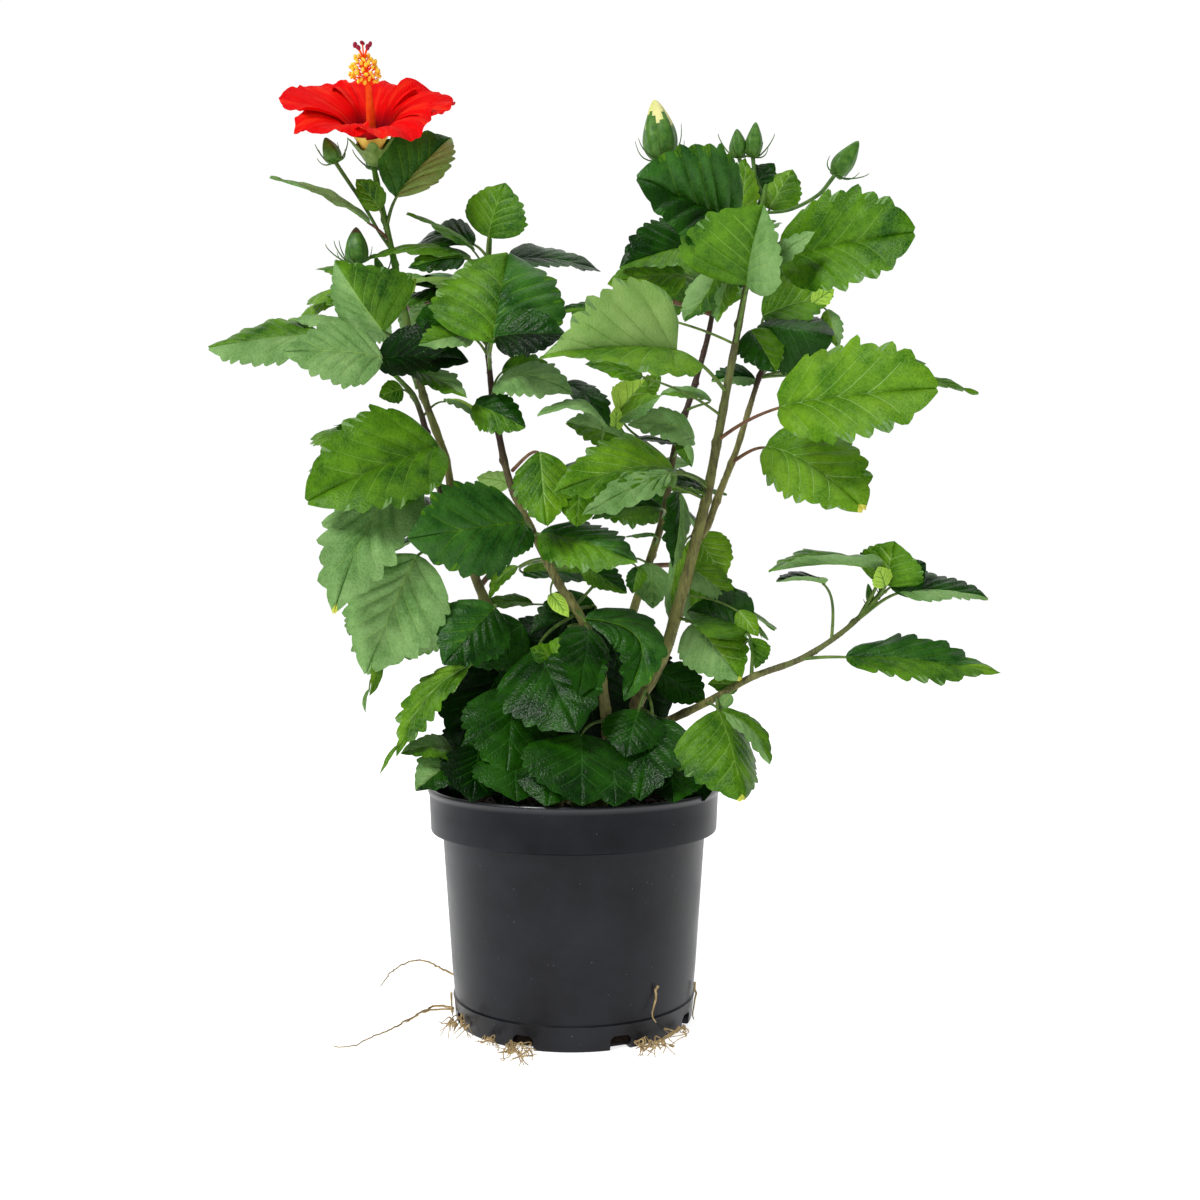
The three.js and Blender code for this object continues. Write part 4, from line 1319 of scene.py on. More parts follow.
        Leaf((46, 168, 6), (66, 124, -10), 40, 10, "N"),
        Leaf((0, 166, -10), (-14, 122, -26), 46, 10, "N"))),
    Mass("pot_left", "stem_left", (
        Leaf((-42, 202, -30), (-68, 154, -50), 54, 15, "ND"),
        Leaf((-36, 190, -44), (-40, 138, -74), 52, 10, "D"),
        Leaf((-36, 152, -60), (-34, 124, -84), 44, 15, "D"),
        Leaf((-50, 172, -16), (-70, 126, -30), 42, 10, "N"),
        Leaf((-56, 156, -50), (-60, 124, -70), 38, 10, "N"),
        Leaf((-30, 160, -10), (-44, 122, -30), 44, 10, "N"))),
    Mass("pot_edge", "stem_left", (
        Leaf((-62, 203, -50), (-104, 150, -62), 20, (30, 45), "BG", bow=.1),
        Leaf((-104, 157, -60), (-114, 140, -62), 3, 30, "B", foot=(-98, 160, -60)),
        Leaf((-68, 146, -42), (-102, 152, -56), 25, (50, 70), "PG", arch=.25),
        Leaf((-66, 150, -44), (-93, 130, -66), 28, (20, 50), "PD"))),
    Mass("rear_right", "branch_right", (
        Leaf((176, 369, 26), (237, 363, 38), 18, (60, 80), "G", foot=(108, 372, 9)),
        Leaf((150, 378, 40), (206, 380, 66), 34, (70, 80), "G", foot=(108, 372, 9)),
        Leaf((128, 374, 46), (176, 366, 90), 38, 75, "GD", foot=(108, 372, 9)),
        Leaf((118, 380, 52), (140, 396, 104), 34, (65, 70), "DG", foot=(108, 372, 9)))),
    Mass("base_left", "stem_left", (
        Leaf((-46, 238, -44), (-77, 204, -60), 40, (10, 20), "MD"),
        Leaf((-30, 228, -30), (-62, 204, -44), 34, 15, "D"))),
    Mass("base_centre", "stem_middle", (
        Leaf((-22, 214, -44), (2, 164, -84), 60, 5, "D"),
        Leaf((8, 226, -42), (2, 186, -78), 30, (20, 25), "D"),
        Leaf((-12, 205, -50), (-8, 221, -52), 14, 15, "G"),
        Leaf((-8, 206, -48), (-26, 214, -56), 14, 15, "G"),
        Leaf((12, 240, -14), (-26, 222, -22), 30, (10, 20), "DN"),
        Leaf((-6, 226, -20), (-34, 196, -26), 46, 10, "N"),
        Leaf((6, 214, -16), (12, 158, -22), 62, 10, "N"),
        Leaf((-16, 196, -14), (-44, 140, -24), 60, 10, "N"))),
    Mass("base_right", "stem_middle", (
        Leaf((6, 231, -46), (29, 183, -74), 27, (10, 30), "MD", bow=.40),
        Leaf((14, 236, -10), (32, 190, -16), 40, 10, "N"),
        Leaf((30, 214, 8), (52, 168, 4), 44, 15, "N"))),
)


@dataclass(frozen=True)
class Shoot:
    """A leafy shoot at the plant's rear, grown by a seeded rule inside the room of one mass.

    start and end are places on the elevation; wide and deep are half the room across and along the sight.
    """

    name: str
    limb: str
    height: float
    start: tuple
    end: tuple
    wide: float
    deep: float
    gap: float = 10.5
    longest: float = 74.0
    shortest: float = 44.0
    twig_girths: tuple = (1.7, 0.8)
    stalk_girths: tuple = (0.95, 0.7)
    stalk_room: float = 14.0

    def grow(self, rng: Rng) -> tuple[Strand, list[tuple[Leaf, Strand]]]:
        """Grow the twig and its leaves, each turned by the golden angle from the one before.

        Args:
            rng: the source of chance.

        Returns:
            The twig, and each leaf with its stalk.
        """
        limb = LIMB_PATHS[self.limb]
        foot = limb[np.argmin(np.abs(limb[:, 2] - place((0, self.height, 0))[2]))]
        start, end = place(self.start), place(self.end)
        reach = float(np.linalg.norm(end - start))
        axis = (end - start) / reach
        sight = unit(np.array((0.0, 1.0, 0.0)) - axis * axis[1])
        across = np.cross(axis, sight)
        sag = UP * 0.06 * reach
        path = smooth_path(np.array((foot, start, (start + end) / 2 + sag, end - axis * 16)), 4.0)
        twig = Strand(path, np.linspace(*self.twig_girths, len(path)))
        first = int(np.argmin(np.linalg.norm(path - start, axis=1)))
        span = float(np.linalg.norm(np.diff(path[first:], axis=0), axis=1).sum())
        count = max(4, int(span / self.gap) + 2)
        facing = rng.uniform(0, math.tau)
        grown = []
        for index in range(count):
            share = index / (count - 1)
            spot = first + int(share * (len(path) - 1 - first) * 0.98)
            at = path[spot]
            facing += GOLDEN_ANGLE + rng.normal(0, 0.12)
            out = math.cos(facing) * across + math.sin(facing) * sight
            room = self.wide * self.deep / math.hypot(
                self.deep * math.cos(facing), self.wide * math.sin(facing))
            long = self.longest + (self.shortest - self.longest) * share
            long *= rng.uniform(0.85, 1.1)
            lean = math.asin(min(0.97, max(0.2, (room * 1.05 - 8) / (long + self.stalk_room))))
            lean = lean if index < count - 1 else lean * 0.3
            left = float((end - at) @ axis)
            forward = math.cos(lean)
            if forward * (long + self.stalk_room) > left + 12:
                forward = max(-0.9, (left + 12) / (long + self.stalk_room)) if index < count - 1 else forward
                long = min(long, max(self.shortest * 0.8, left + 26))
            heading = unit(out * math.sin(lean) + axis * forward)
            droop = UP * rng.uniform(0.05, 0.30)
            base = at + unit(heading + UP * 0.35) * rng.uniform(11, 17)
            tip = base + unit(heading - droop) * long
            upper = unit(UP * 0.9 + out * 0.55 - axis * 0.15 + rng.normal(0, 0.12, 3))
            tint = "GB" if rng.random() < 0.3 else "GM" if rng.random() < 0.6 else "DG"
            leaf = Leaf(tuple(base), tuple(tip), long * rng.uniform(0.56, 0.70), 0, tint,
                        arch=rng.uniform(0.04, 0.12), normal=tuple(upper), teeth=8)
            chord = unit(tip - base)
            stalk = bezier(at, at + out * 4 + UP * 4, base - chord * 5, base + chord * 1.5, 8)
            grown.append((leaf, Strand(stalk, np.linspace(*self.stalk_girths, len(stalk)))))
        return twig, grown


SHOOTS = (
    Shoot("rear_low", "stem_rear", 190, (-24, 214, 60), (8, 146, 122), 46, 30),
    Shoot("rear_mid", "stem_rear", 300, (-28, 306, 92), (60, 302, 124), 24, 46),
    Shoot("rear_left", "stem_left", 250, (-38, 276, 18), (-88, 282, 92), 20, 32),
    Shoot("rear_top_left", "stem_middle", 410, (-16, 412, 40), (-96, 416, 122), 24, 40),
    Shoot("rear_top_right", "stem_rear_right", 420, (26, 430, 84), (118, 442, 116), 33, 42),
    Shoot("rear_crest_left", "branch_flower", 412, (-98, 412, 16), (-136, 414, 88), 19, 28),
    Shoot("rear_shoulder_left", "stem_left", 330, (-92, 334, 2), (-132, 324, 82), 20, 28),
    Shoot("rear_side_right", "stem_rear_right", 262, (62, 262, 48), (92, 226, 112), 22, 30),
    Shoot("rear_low_left", "stem_left", 236, (-62, 232, 20), (-116, 228, 84), 18, 26),
)

SPRAYS = {
    "leaves_bloom": ("left_top", "left_spur", "bloom_shoot"),
    "leaves_left_high": ("left_reach", "left_shoulder"),
    "leaves_left_low": ("left_hanging", "left_low", "left_front"),
    "leaves_middle_top": ("middle_top", "middle_left", "middle_tip", "middle_wing"),
    "leaves_middle": ("middle_low", "centre", "centre_low"),
    "leaves_heart": ("centre_high", "waist"),
    "leaves_right_top": ("right_top", "right_crest", "right_shoulder", "right_pale"),
    "leaves_right_crown": ("right_crown", "right_mid"),
    "leaves_inner_right": ("inner_right",),
    "leaves_right_side": ("right_side", "right_lower"),
    "leaves_right_low": ("right_low",),
    "leaves_branch": ("branch_upper", "branch_lower"),
    "leaves_pot_right": ("pot_right", "pot_front"),
    "leaves_pot_left": ("pot_left", "pot_edge", "base_left"),
    "leaves_base": ("base_centre", "base_right"),
    "leaves_rear_low": ("rear_low", "rear_low_left", "rear_side_right"),
    "leaves_rear_mid": ("rear_mid", "rear_left", "rear_shoulder_left"),
    "leaves_rear_top": ("rear_top_left", "rear_top_right", "rear_crest_left"),
    "leaves_rear_right": ("rear_right",),
}


@dataclass
class Crown:
    """All leaves in joined sprays, with the stalks and twigs that carry them."""

    stalk_foot: float = 1.15
    stalk_tip: float = 0.75
    stalk_sides: int = 10
    seed: int = SEED + 100
    green: list = field(default_factory=list)
    brown: list = field(default_factory=list)

    def stalk(self, mass: Mass, leaf: Leaf) -> Strand:
        """Run a leaf's stalk from its limb, so that it arrives along the blade.

        Args:
            mass: the mass that the leaf belongs to.
            leaf: the leaf.

        Returns:
            The stalk.
        """
        base, tip = place(leaf.base), place(leaf.tip)
        chord = unit(tip - base)
        limb = LIMB_PATHS[mass.limb]
        wanted = base - chord * 16 - UP * 9 if leaf.foot is None else place(leaf.foot)
        away = np.linalg.norm(limb - wanted, axis=1)
        at = int(np.argmin(away))
        foot = limb[at] if leaf.foot is None or away[at] < 7 else wanted
        growth = unit(limb[min(at + 2, len(limb) - 1)] - limb[max(at - 2, 0)])
        gap, course = float(np.linalg.norm(base - foot)), unit(base - foot)
        path = bezier(foot, foot + unit(course + growth * 0.22) * gap * 0.4,
                      base - unit(chord + course) * gap * 0.28, base + chord * 1.6, 14)
        size = min(1.0, 0.45 + leaf.width / 60)
        return Strand(path, np.linspace(self.stalk_foot, self.stalk_tip, len(path)) * size)

    def gather(self, member: str, rng: Rng) -> list[Leaf]:
        """Collect the leaves of a mass or a shoot, and keep their stalks.

        Args:
            member: its name.
            rng: the source of chance.

        Returns:
            The leaves.
        """
        for mass in MASSES:
            if mass.name == member:
                for leaf in mass.leaves:
                    (self.brown if leaf.brown else self.green).append(self.stalk(mass, leaf))
                return list(mass.leaves)
        twig, grown = next(shoot for shoot in SHOOTS if shoot.name == member).grow(rng)
        self.brown.append(twig)
        self.green += [stalk for _, stalk in grown]
        return [leaf for leaf, _ in grown]

    def build(self) -> None:
        """Make every spray, then the green and the brown stalks."""
        materials = [LEAF_FINISHES[tint].make() for tint in TINT_ORDER]
        maker = LeafMaker()
        for number, (name, members) in enumerate(SPRAYS.items()):
            rng = np.random.default_rng(self.seed + number)
            leaves = [leaf for member in members for leaf in self.gather(member, rng)]
            skin = Skin()
            for index, leaf in enumerate(leaves):
                maker.add(skin, leaf, rng, 2 * index, 2 * len(leaves))
            hand_in(skin.build(name, materials), Slot.LEAF, *("foliage_" + member for member in members))
        green = GrainFinish("stalk_green", (0.045, 0.105, 0.014), (0.16, 0.25, 0.045), 160.0, 0.45, 0.25)
        brown = GrainFinish("stalk_brown", (0.10, 0.035, 0.022), (0.20, 0.11, 0.045), 220.0, 0.5)
        for name, strands, finish, slot in (("stalks_green", self.green, green, Slot.LEAF),
                                            ("stalks_brown", self.brown, brown, Slot.BARK)):
            hand_in(skin_strands(name, strands, self.stalk_sides, finish.make()), slot)


# ---------- the flower


@dataclass(frozen=True)
class Petal:
    """One petal: the way it points round the axis, how far its end is lifted and how long it is."""

    angle: float
    lift: float = 0.0
    reach: float = 1.0
    ruffle: float = 1.0


@dataclass
class Bloom:
    """The open flower: calyx, five overlapping petals, and the column with its stamens; its bracts come with
    the buds.
    """

    base: tuple = (-116.5, 494.8, -20)
    tilt: float = 38.5
    turn: float = 1.0
    petals: tuple = (
        Petal(90), Petal(162, 4, 1.07, 1.1), Petal(234), Petal(306, 0, 0.98), Petal(18, 1, 1.05))
    profile: tuple = ((0.0, 3.0, 5.0), (0.14, 6.4, 13.5), (0.28, 11.5, 22.5), (0.42, 18.0, 29.0),
                      (0.6, 28.0, 33.0), (0.8, 38.5, 34.5), (1.0, 46.0, 33.0))
    petal_rows: int = 46
    petal_columns: int = 49
    thickness: float = 0.45
    foot_share: float = 0.24
    calyx_rows: int = 14
    calyx_sides: int = 60
    calyx_height: float = 12.5
    calyx_lobe: float = 7.0
    calyx_wall: float = 0.55
    column_foot: float = 16.0
    column_top: float = 60.0
    column_girths: tuple = (3.0, 1.2)
    filaments: int = 60
    filament_foot: float = 45.0
    filament_span: float = 12.5
    filament_girths: tuple = (0.30, 0.2)
    cloud: float = 8.5
    stigma_arms: int = 5
    stigma_girth: float = 0.42
    anther_radius: float = 1.25
    pad_radius: float = 1.5
    strand_sides: int = 8
    petal_seed: int = SEED + 3
    stamen_seed: int = SEED + 7

    def __post_init__(self) -> None:
        """Work out the flower's own axes."""
        lean, side = math.radians(self.tilt), math.radians(self.turn)
        self.origin = place(self.base)
        c, s, d, t = math.cos(lean), math.sin(lean), math.cos(side), math.sin(side)
        about_x = np.array(((1, 0, 0), (0, c, -s), (0, s, c)))
        self.axes = np.array(((d, 0, t), (0, 1, 0), (-t, 0, d))) @ about_x

    def at(self, radius: Array, angle: Array, height: Array) -> Array:
        """Turn radius, angle and height in the flower into points of the row frame."""
        return about_axis(radius, angle, height) @ self.axes.T + self.origin

    def petal(self, onto: Skin, petal: Petal, rng: Rng, cell: int) -> None:
        """Add one petal, with its fan of ridges and its ruffled edge.

        Args:
            onto: the skin of all petals.
            petal: the petal.
            rng: the source of chance.
            cell: the number of its first bake cell.
        """
        u = np.linspace(0, 1, self.petal_rows)[:, None]
        w = np.linspace(-1, 1, self.petal_columns)[None, :]
        knots = np.array(self.profile)
        radius = np.interp(u, knots[:, 0], knots[:, 1])
        height = np.interp(u, knots[:, 0], knots[:, 2])
        for _ in range(2):
            height = np.concatenate((height[:1], (height[:-2] + height[1:-1] + height[2:]) / 3, height[-1:]))
        far = np.clip((u - 0.3) / 0.7, 0, 1)
        half = np.radians(39 + 6 * np.clip(u / 0.5, 0, 1))
        angle = math.radians(petal.angle) + half * w
        phase = rng.uniform(0, math.tau, 5)
        round_off = 1 - 0.25 * np.abs(w) ** 2.3 * far
        lobes = 1 + 0.022 * far**2 * (np.sin(5 * w + phase[0]) + 0.6 * np.sin(19 * w + phase[1]))
        reach = 1 + (petal.reach - 1) * far
        ruffle = far**2.4 * petal.ruffle * (
            2.3 * np.sin(4.3 * w + phase[2]) + 0.7 * np.sin(11 * w + phase[3])
            + 0.4 * np.sin(29 * w + phase[4]))
        ridges = (0.24 * np.sin(w * 40 + phase[0]) + 0.75 * np.sin(w * 11 + phase[1])) * np.sqrt(far)
        overlap = 0.8 * w * np.clip(u * 4, 0, 1)
        dish = 5.5 * np.sqrt(far) * (np.abs(w) ** 2 - 0.3) * (1 - 0.45 * far)
        rise = height + petal.lift * far**2.6 + ruffle + ridges + overlap + dish
        top = self.at(radius * round_off * lobes * reach, angle, rise)
        along, across = np.gradient(top, axis=(0, 1))
        facing = np.cross(along, across)
        facing /= np.maximum(np.linalg.norm(facing, axis=-1), 1e-9)[..., None]
        bottom = top - facing * self.thickness * np.sign(facing @ self.axes[:, 2])[..., None]
        shares = stacked(u, (w + 1) / 2)
        blank = np.zeros((self.petal_rows - 1, self.petal_columns - 1))
        below = blank + (u[:-1] < self.foot_share)
        onto.add_sheet(top, bottom, shares, blank, below, cell, 2 * len(self.petals))

    def calyx(self, onto: Skin) -> None:
        """Add the five-lobed green cup, as one closed sheet round the petals' feet."""
        v = np.linspace(0, 1, self.calyx_rows)[:, None]
        turns = np.linspace(0, math.tau, self.calyx_sides + 1)[None, :]
        lobe = (0.5 + 0.5 * np.cos(5 * turns + 0.6)) ** 1.3
        length = self.calyx_height + self.calyx_lobe * lobe
        height = v * length
        radius = 1.2 + 5.4 * np.clip(v * length / 7, 0, 1) ** 0.6
        radius = radius + 0.45 * np.clip(height - 7, 0, 12) * (1 + 0.35 * lobe)
        radius = radius + 0.25 * np.cos(10 * turns + 1.2) * v
        top = self.at(radius, turns, height)
        bottom = self.at(np.maximum(radius - self.calyx_wall, 0.5), turns, height + 0.2)
        shares = stacked(v, turns / math.tau)
        plain = np.zeros((self.calyx_rows - 1, self.calyx_sides))
        onto.add_sheet(top, bottom, shares, plain, plain, 0, 2)

    def arm(self, radii: tuple, angle: float, rises: Array, girths: Array) -> tuple[Strand, Array]:
        """Bend a short arm out of the column.

        Args:
            radii: its distance from the axis at the foot, the bend and the end.
            angle: its turn round the axis.
            rises: its heights at the same three places.
            girths: its radius at each point.

        Returns:
            The arm and the place of its end.
        """
        path = self.at(np.array(radii), np.full(3, angle), rises)
        return Strand(bezier(path[0], path[1], path[1], path[2], len(girths)), girths), path[2]

    def stamens(self) -> tuple[list[Strand], list[Array]]:
        """Return the column and its filaments as strands, and where the anthers sit."""
        rng = np.random.default_rng(self.stamen_seed)
        heights = np.linspace(self.column_foot, self.column_top, 24)
        swing = 0.9 * np.sin((heights - self.column_foot) / 14)
        column = self.at(swing, np.zeros_like(heights), heights)
        strands = [Strand(column, np.linspace(*self.column_girths, len(column)))]
        anthers = []
        for index in range(self.filaments):
            share = (index + 0.5) / self.filaments
            height = self.filament_foot + self.filament_span * share
            angle = index * GOLDEN_ANGLE
            long = self.cloud * (0.55 + 0.45 * math.sin(math.pi * min(1.0, 0.15 + share)))
            long *= rng.uniform(0.75, 1.05)
            rises = height + np.array((0.0, 1.2, 3.4 + rng.uniform(-1, 1)))
            girths = np.linspace(*self.filament_girths, 6)
            strand, end = self.arm((0.8, long * 0.55, long), angle, rises, girths)
            strands.append(strand)
            anthers.append(end)
        return strands, anthers

    def stigma(self) -> tuple[tuple, tuple]:
        """Return the five short arms at the column's end, and where their pads sit."""
        rises = self.column_top + np.array((-1.5, 3.4, 6.8))
        turns = [index * math.tau / self.stigma_arms + 0.5 for index in range(self.stigma_arms)]
        girths = np.full(7, self.stigma_girth)
        return tuple(zip(*(self.arm((0.2, 1.6, 4.2), turn, rises, girths) for turn in turns)))

    def build(self) -> None:
        """Make the flower's pieces."""
        rng = np.random.default_rng(self.petal_seed)
        skin = Skin(crease=70.0)
        for index, petal in enumerate(self.petals):
            self.petal(skin, petal, rng, 2 * index)
        yellow = GrainFinish("petal_foot", (0.90, 0.66, 0.14), (0.96, 0.50, 0.08), 120.0, 0.5, 0.15)
        hand_in(skin.build("petals", [PetalFinish().make(), yellow.make()]), Slot.PETAL, "bloom")
        cup = Skin()
        self.calyx(cup)
        green = GrainFinish("calyx_green", (0.090, 0.170, 0.025), (0.24, 0.34, 0.09), 260.0, 0.5, 0.2)
        hand_in(cup.build("calyx", [green.make()]), Slot.LEAF)
        strands, anthers = self.stamens()
        arms, pads = self.stigma()
        orange = GrainFinish("column_orange", (0.95, 0.045, 0.006), (1.0, 0.14, 0.012), 300.0, 0.5, 0.10)
        hand_in(skin_strands("stamens", [*strands, *arms], self.strand_sides, orange.make()), Slot.PETAL)
        gold = GrainFinish("anther_gold", (0.95, 0.42, 0.01), (1.0, 0.74, 0.10), 500.0, 0.7, 0.1)
        hand_in(beads("anthers", anthers, self.anther_radius, gold.make()), Slot.PETAL)
        wine = GrainFinish("stigma_wine", (0.20, 0.003, 0.02), (0.38, 0.01, 0.04), 900.0, 0.8)
        hand_in(beads("stigma_pads", pads, self.pad_radius, wine.make()), Slot.PETAL)


def beads(name: str, spots: list[Array], radius: float, material: Material) -> Object:
    """Set a small rough bead on every spot, by geometry nodes.

    Args:
        name: the name of the piece.
        spots: the places, in millimetres.
        radius: the bead's radius in millimetres.
        material: its material.

    Returns:
        The piece.
    """
    rig = NodeRig(name + "_rig", Radius=radius * MM, Seed=SEED)
    bead = rig.node("MeshIcoSphere", {"Radius": 1.0, "Subdivisions": 2})
    squat = rig.node("Transform", {"Geometry": bead, "Scale": (1.15, 0.85, 0.7)})
    strewn = rig.strew(rig.given["Geometry"], squat, rig.given["Radius"], math.tau)
    return rig.run(name, strewn, plain_mesh(name + "_spots", spots), material)


# ---------- buds


@dataclass(frozen=True)
class Bud:
    """A flower bud: a ribbed green calyx with the furled petals in its end, ringed by thin bracts."""

    base: tuple
    tip: tuple
    girth: float
    stalk: tuple
    petal_share: float = 0.0
    bracts: int = 7
    bract_tips: tuple = ()
    withered: bool = False
    rows: int = 22
    sides: int = 24
    ribs: float = 0.11
    withered_from: float = 0.82
    stalk_girths: tuple = (0.95, 1.25)

    def axes(self) -> tuple[Array, ...]:
        """Return the base, the tip, the direction between them and two directions across it."""
        base, tip = place(self.base), place(self.tip)
        axis = unit(tip - base)
        side = unit(np.cross(axis, (0.2, 1.0, 0.1)))
        return base, tip, axis, side, np.cross(axis, side)

    def skin(self, onto: Skin, cell: int, cells: int) -> None:
        """Add the bud's body.

        Args:
            onto: the skin of all buds.
            cell: the number of its bake cell.
            cells: how many cells the atlas holds.
        """
        base, tip, axis, side, across = self.axes()
        length = float(np.linalg.norm(tip - base))
        t = np.linspace(0, 1, self.rows)[:, None]
        angle = np.linspace(0, math.tau, self.sides, endpoint=False)[None, :]
        profile = np.sin(math.pi * np.clip(t, 0.0, 1) ** 0.72) ** 0.62 * (1 - 0.28 * t)
        ribs = 1 + self.ribs * np.cos(5 * angle + 2.2 * t) * np.sin(math.pi * t)
        radius = self.girth * profile * ribs + 0.05
        rings = base + axis * (t * length)[..., None] + (radius * np.cos(angle))[..., None] * side + (
            radius * np.sin(angle))[..., None] * across
        edge = 1 - self.petal_share + 0.14 * np.cos(5 * angle + 1.2)
        middle = (t[:-1] + t[1:]) / 2
        slots = np.where((middle > edge) & (self.petal_share > 0), 1, 0)
        if self.withered:
            slots = np.where(middle > self.withered_from, 2, slots)
        onto.add_rings(rings, (base, tip), slots, t[:, 0], cell, cells)

    def strands(self, rng: Rng) -> list[Strand]:
        """Return the stalk and the bracts.

        Args:
            rng: the source of chance.

        Returns:
            The strands.
        """
        base, _, axis, side, across = self.axes()
        made = []
        if self.stalk:
            path = smooth_path(np.vstack((place(self.stalk), base + axis * 1.5)), 2.5)
            made.append(Strand(path, np.linspace(*self.stalk_girths, len(path))))
        for index in range(self.bracts):
            turn = index * math.tau / self.bracts + rng.uniform(-0.2, 0.2)
            out = math.cos(turn) * side + math.sin(turn) * across
            far = self.girth * rng.uniform(1.25, 1.6)
            path = bezier(base + axis * 0.8, base + out * far * 0.9, base + out * far + axis * far * 0.5,
                          base + out * far * 1.05 + axis * self.girth * rng.uniform(1.0, 1.5), 8)
            made.append(Strand(path, np.linspace(0.55, 0.15, 8)))
        for spot in self.bract_tips:
            end = place(spot)
            out = unit(end - base - axis * float((end - base) @ axis))
            path = bezier(base, base + out * self.girth, end - axis * 3, end, 8)
            made.append(Strand(path, np.linspace(0.6, 0.2, 8)))
        return made


BUDS = (
    Bud((52, 498, -34), (47, 534, -30), 10.4, (
        (92, 448, -20), (82, 458, -26), (66, 476, -32), (54, 490, -34)), 0.36),
    Bud((96, 500, 0), (95, 517, 0), 5.5, ((108, 470, -12), (101, 484, -4)), 0, 5, ((84, 514, 0),)),
    Bud((104, 500, -2), (106, 521, -2), 5.5, ((111, 478, -10), (106, 488, -4)), 0, 5, ((117, 514, 0),)),
    Bud((152, 490, -20), (166, 510, -20), 6.5, (
        (109, 468, -12), (126, 470, -16), (143, 479, -20), (149, 486, -20)), 0, 6, ((172, 491, -20),)),
    Bud((-127, 438, -34), (-127, 460, -34), 7, (
        (-104, 436, -19), (-114, 432, -26), (-124, 434, -33)), 0, 4, (
        (-140, 452, -34), (-137, 452, -30), (-145, 450, -36)), True),
    Bud((-139, 497, -30), (-145, 512, -30), 5.5, (
        (-107.5, 448, -20), (-113, 456, -22), (-124, 475, -27), (-134, 490, -30)), 0, 5, (
        (-151, 508, -30), (-132, 512, -30))),
    Bud((-112, 431, -22), (-116, 443, -24), 3, ((-104, 428, -19), (-108, 428, -20)), 0, 3, (
        (-107, 443, -22),)),
    Bud((110, 466, -8), (108, 476, -6), 3, ((107, 460, -13),), 0, 3),
    Bud((174, 240, -46), (172, 252, -44), 2.4, ((170, 235, -49),), 0, 2),
    Bud((180, 246, -48), (181, 256, -46), 2.0, ((178, 243, -50),), 0, 2),
    Bud((-116.5, 493, -20), (-116.5, 499, -20), 3.6, (), 0, 8, (
        (-129, 505, -22), (-107, 505, -22), (-121, 503, -28), (-113, 504, -12))),
)


@dataclass
class Buds:
    """All buds, with their stalks and bracts."""

    strand_sides: int = 8
    seed: int = SEED + 11

    def build(self) -> None:
        """Make the buds and their strands."""
        rng = np.random.default_rng(self.seed)
        skin = Skin()
        strands = []
        for index, bud in enumerate(BUDS):
            bud.skin(skin, index, len(BUDS))
            strands += bud.strands(rng)
        calyx = GrainFinish("bud_green", (0.022, 0.100, 0.008), (0.100, 0.235, 0.030), 240.0, 0.45, 0.25)
        petal = GrainFinish("bud_petal", (0.62, 0.66, 0.20), (0.78, 0.72, 0.30), 200.0, 0.5)
        dry = GrainFinish("bud_dry", (0.05, 0.03, 0.02), (0.16, 0.09, 0.04), 500.0, 0.8)
        hand_in(skin.build("buds", [calyx.make(), petal.make(), dry.make()]), Slot.LEAF)
        bract = GrainFinish("bract_green", (0.025, 0.085, 0.010), (0.105, 0.210, 0.035), 240.0, 0.45, 0.25)
        hand_in(skin_strands("bud_stalks", strands, self.strand_sides, bract.make()), Slot.LEAF)


# ---------- pot, compost and stray roots


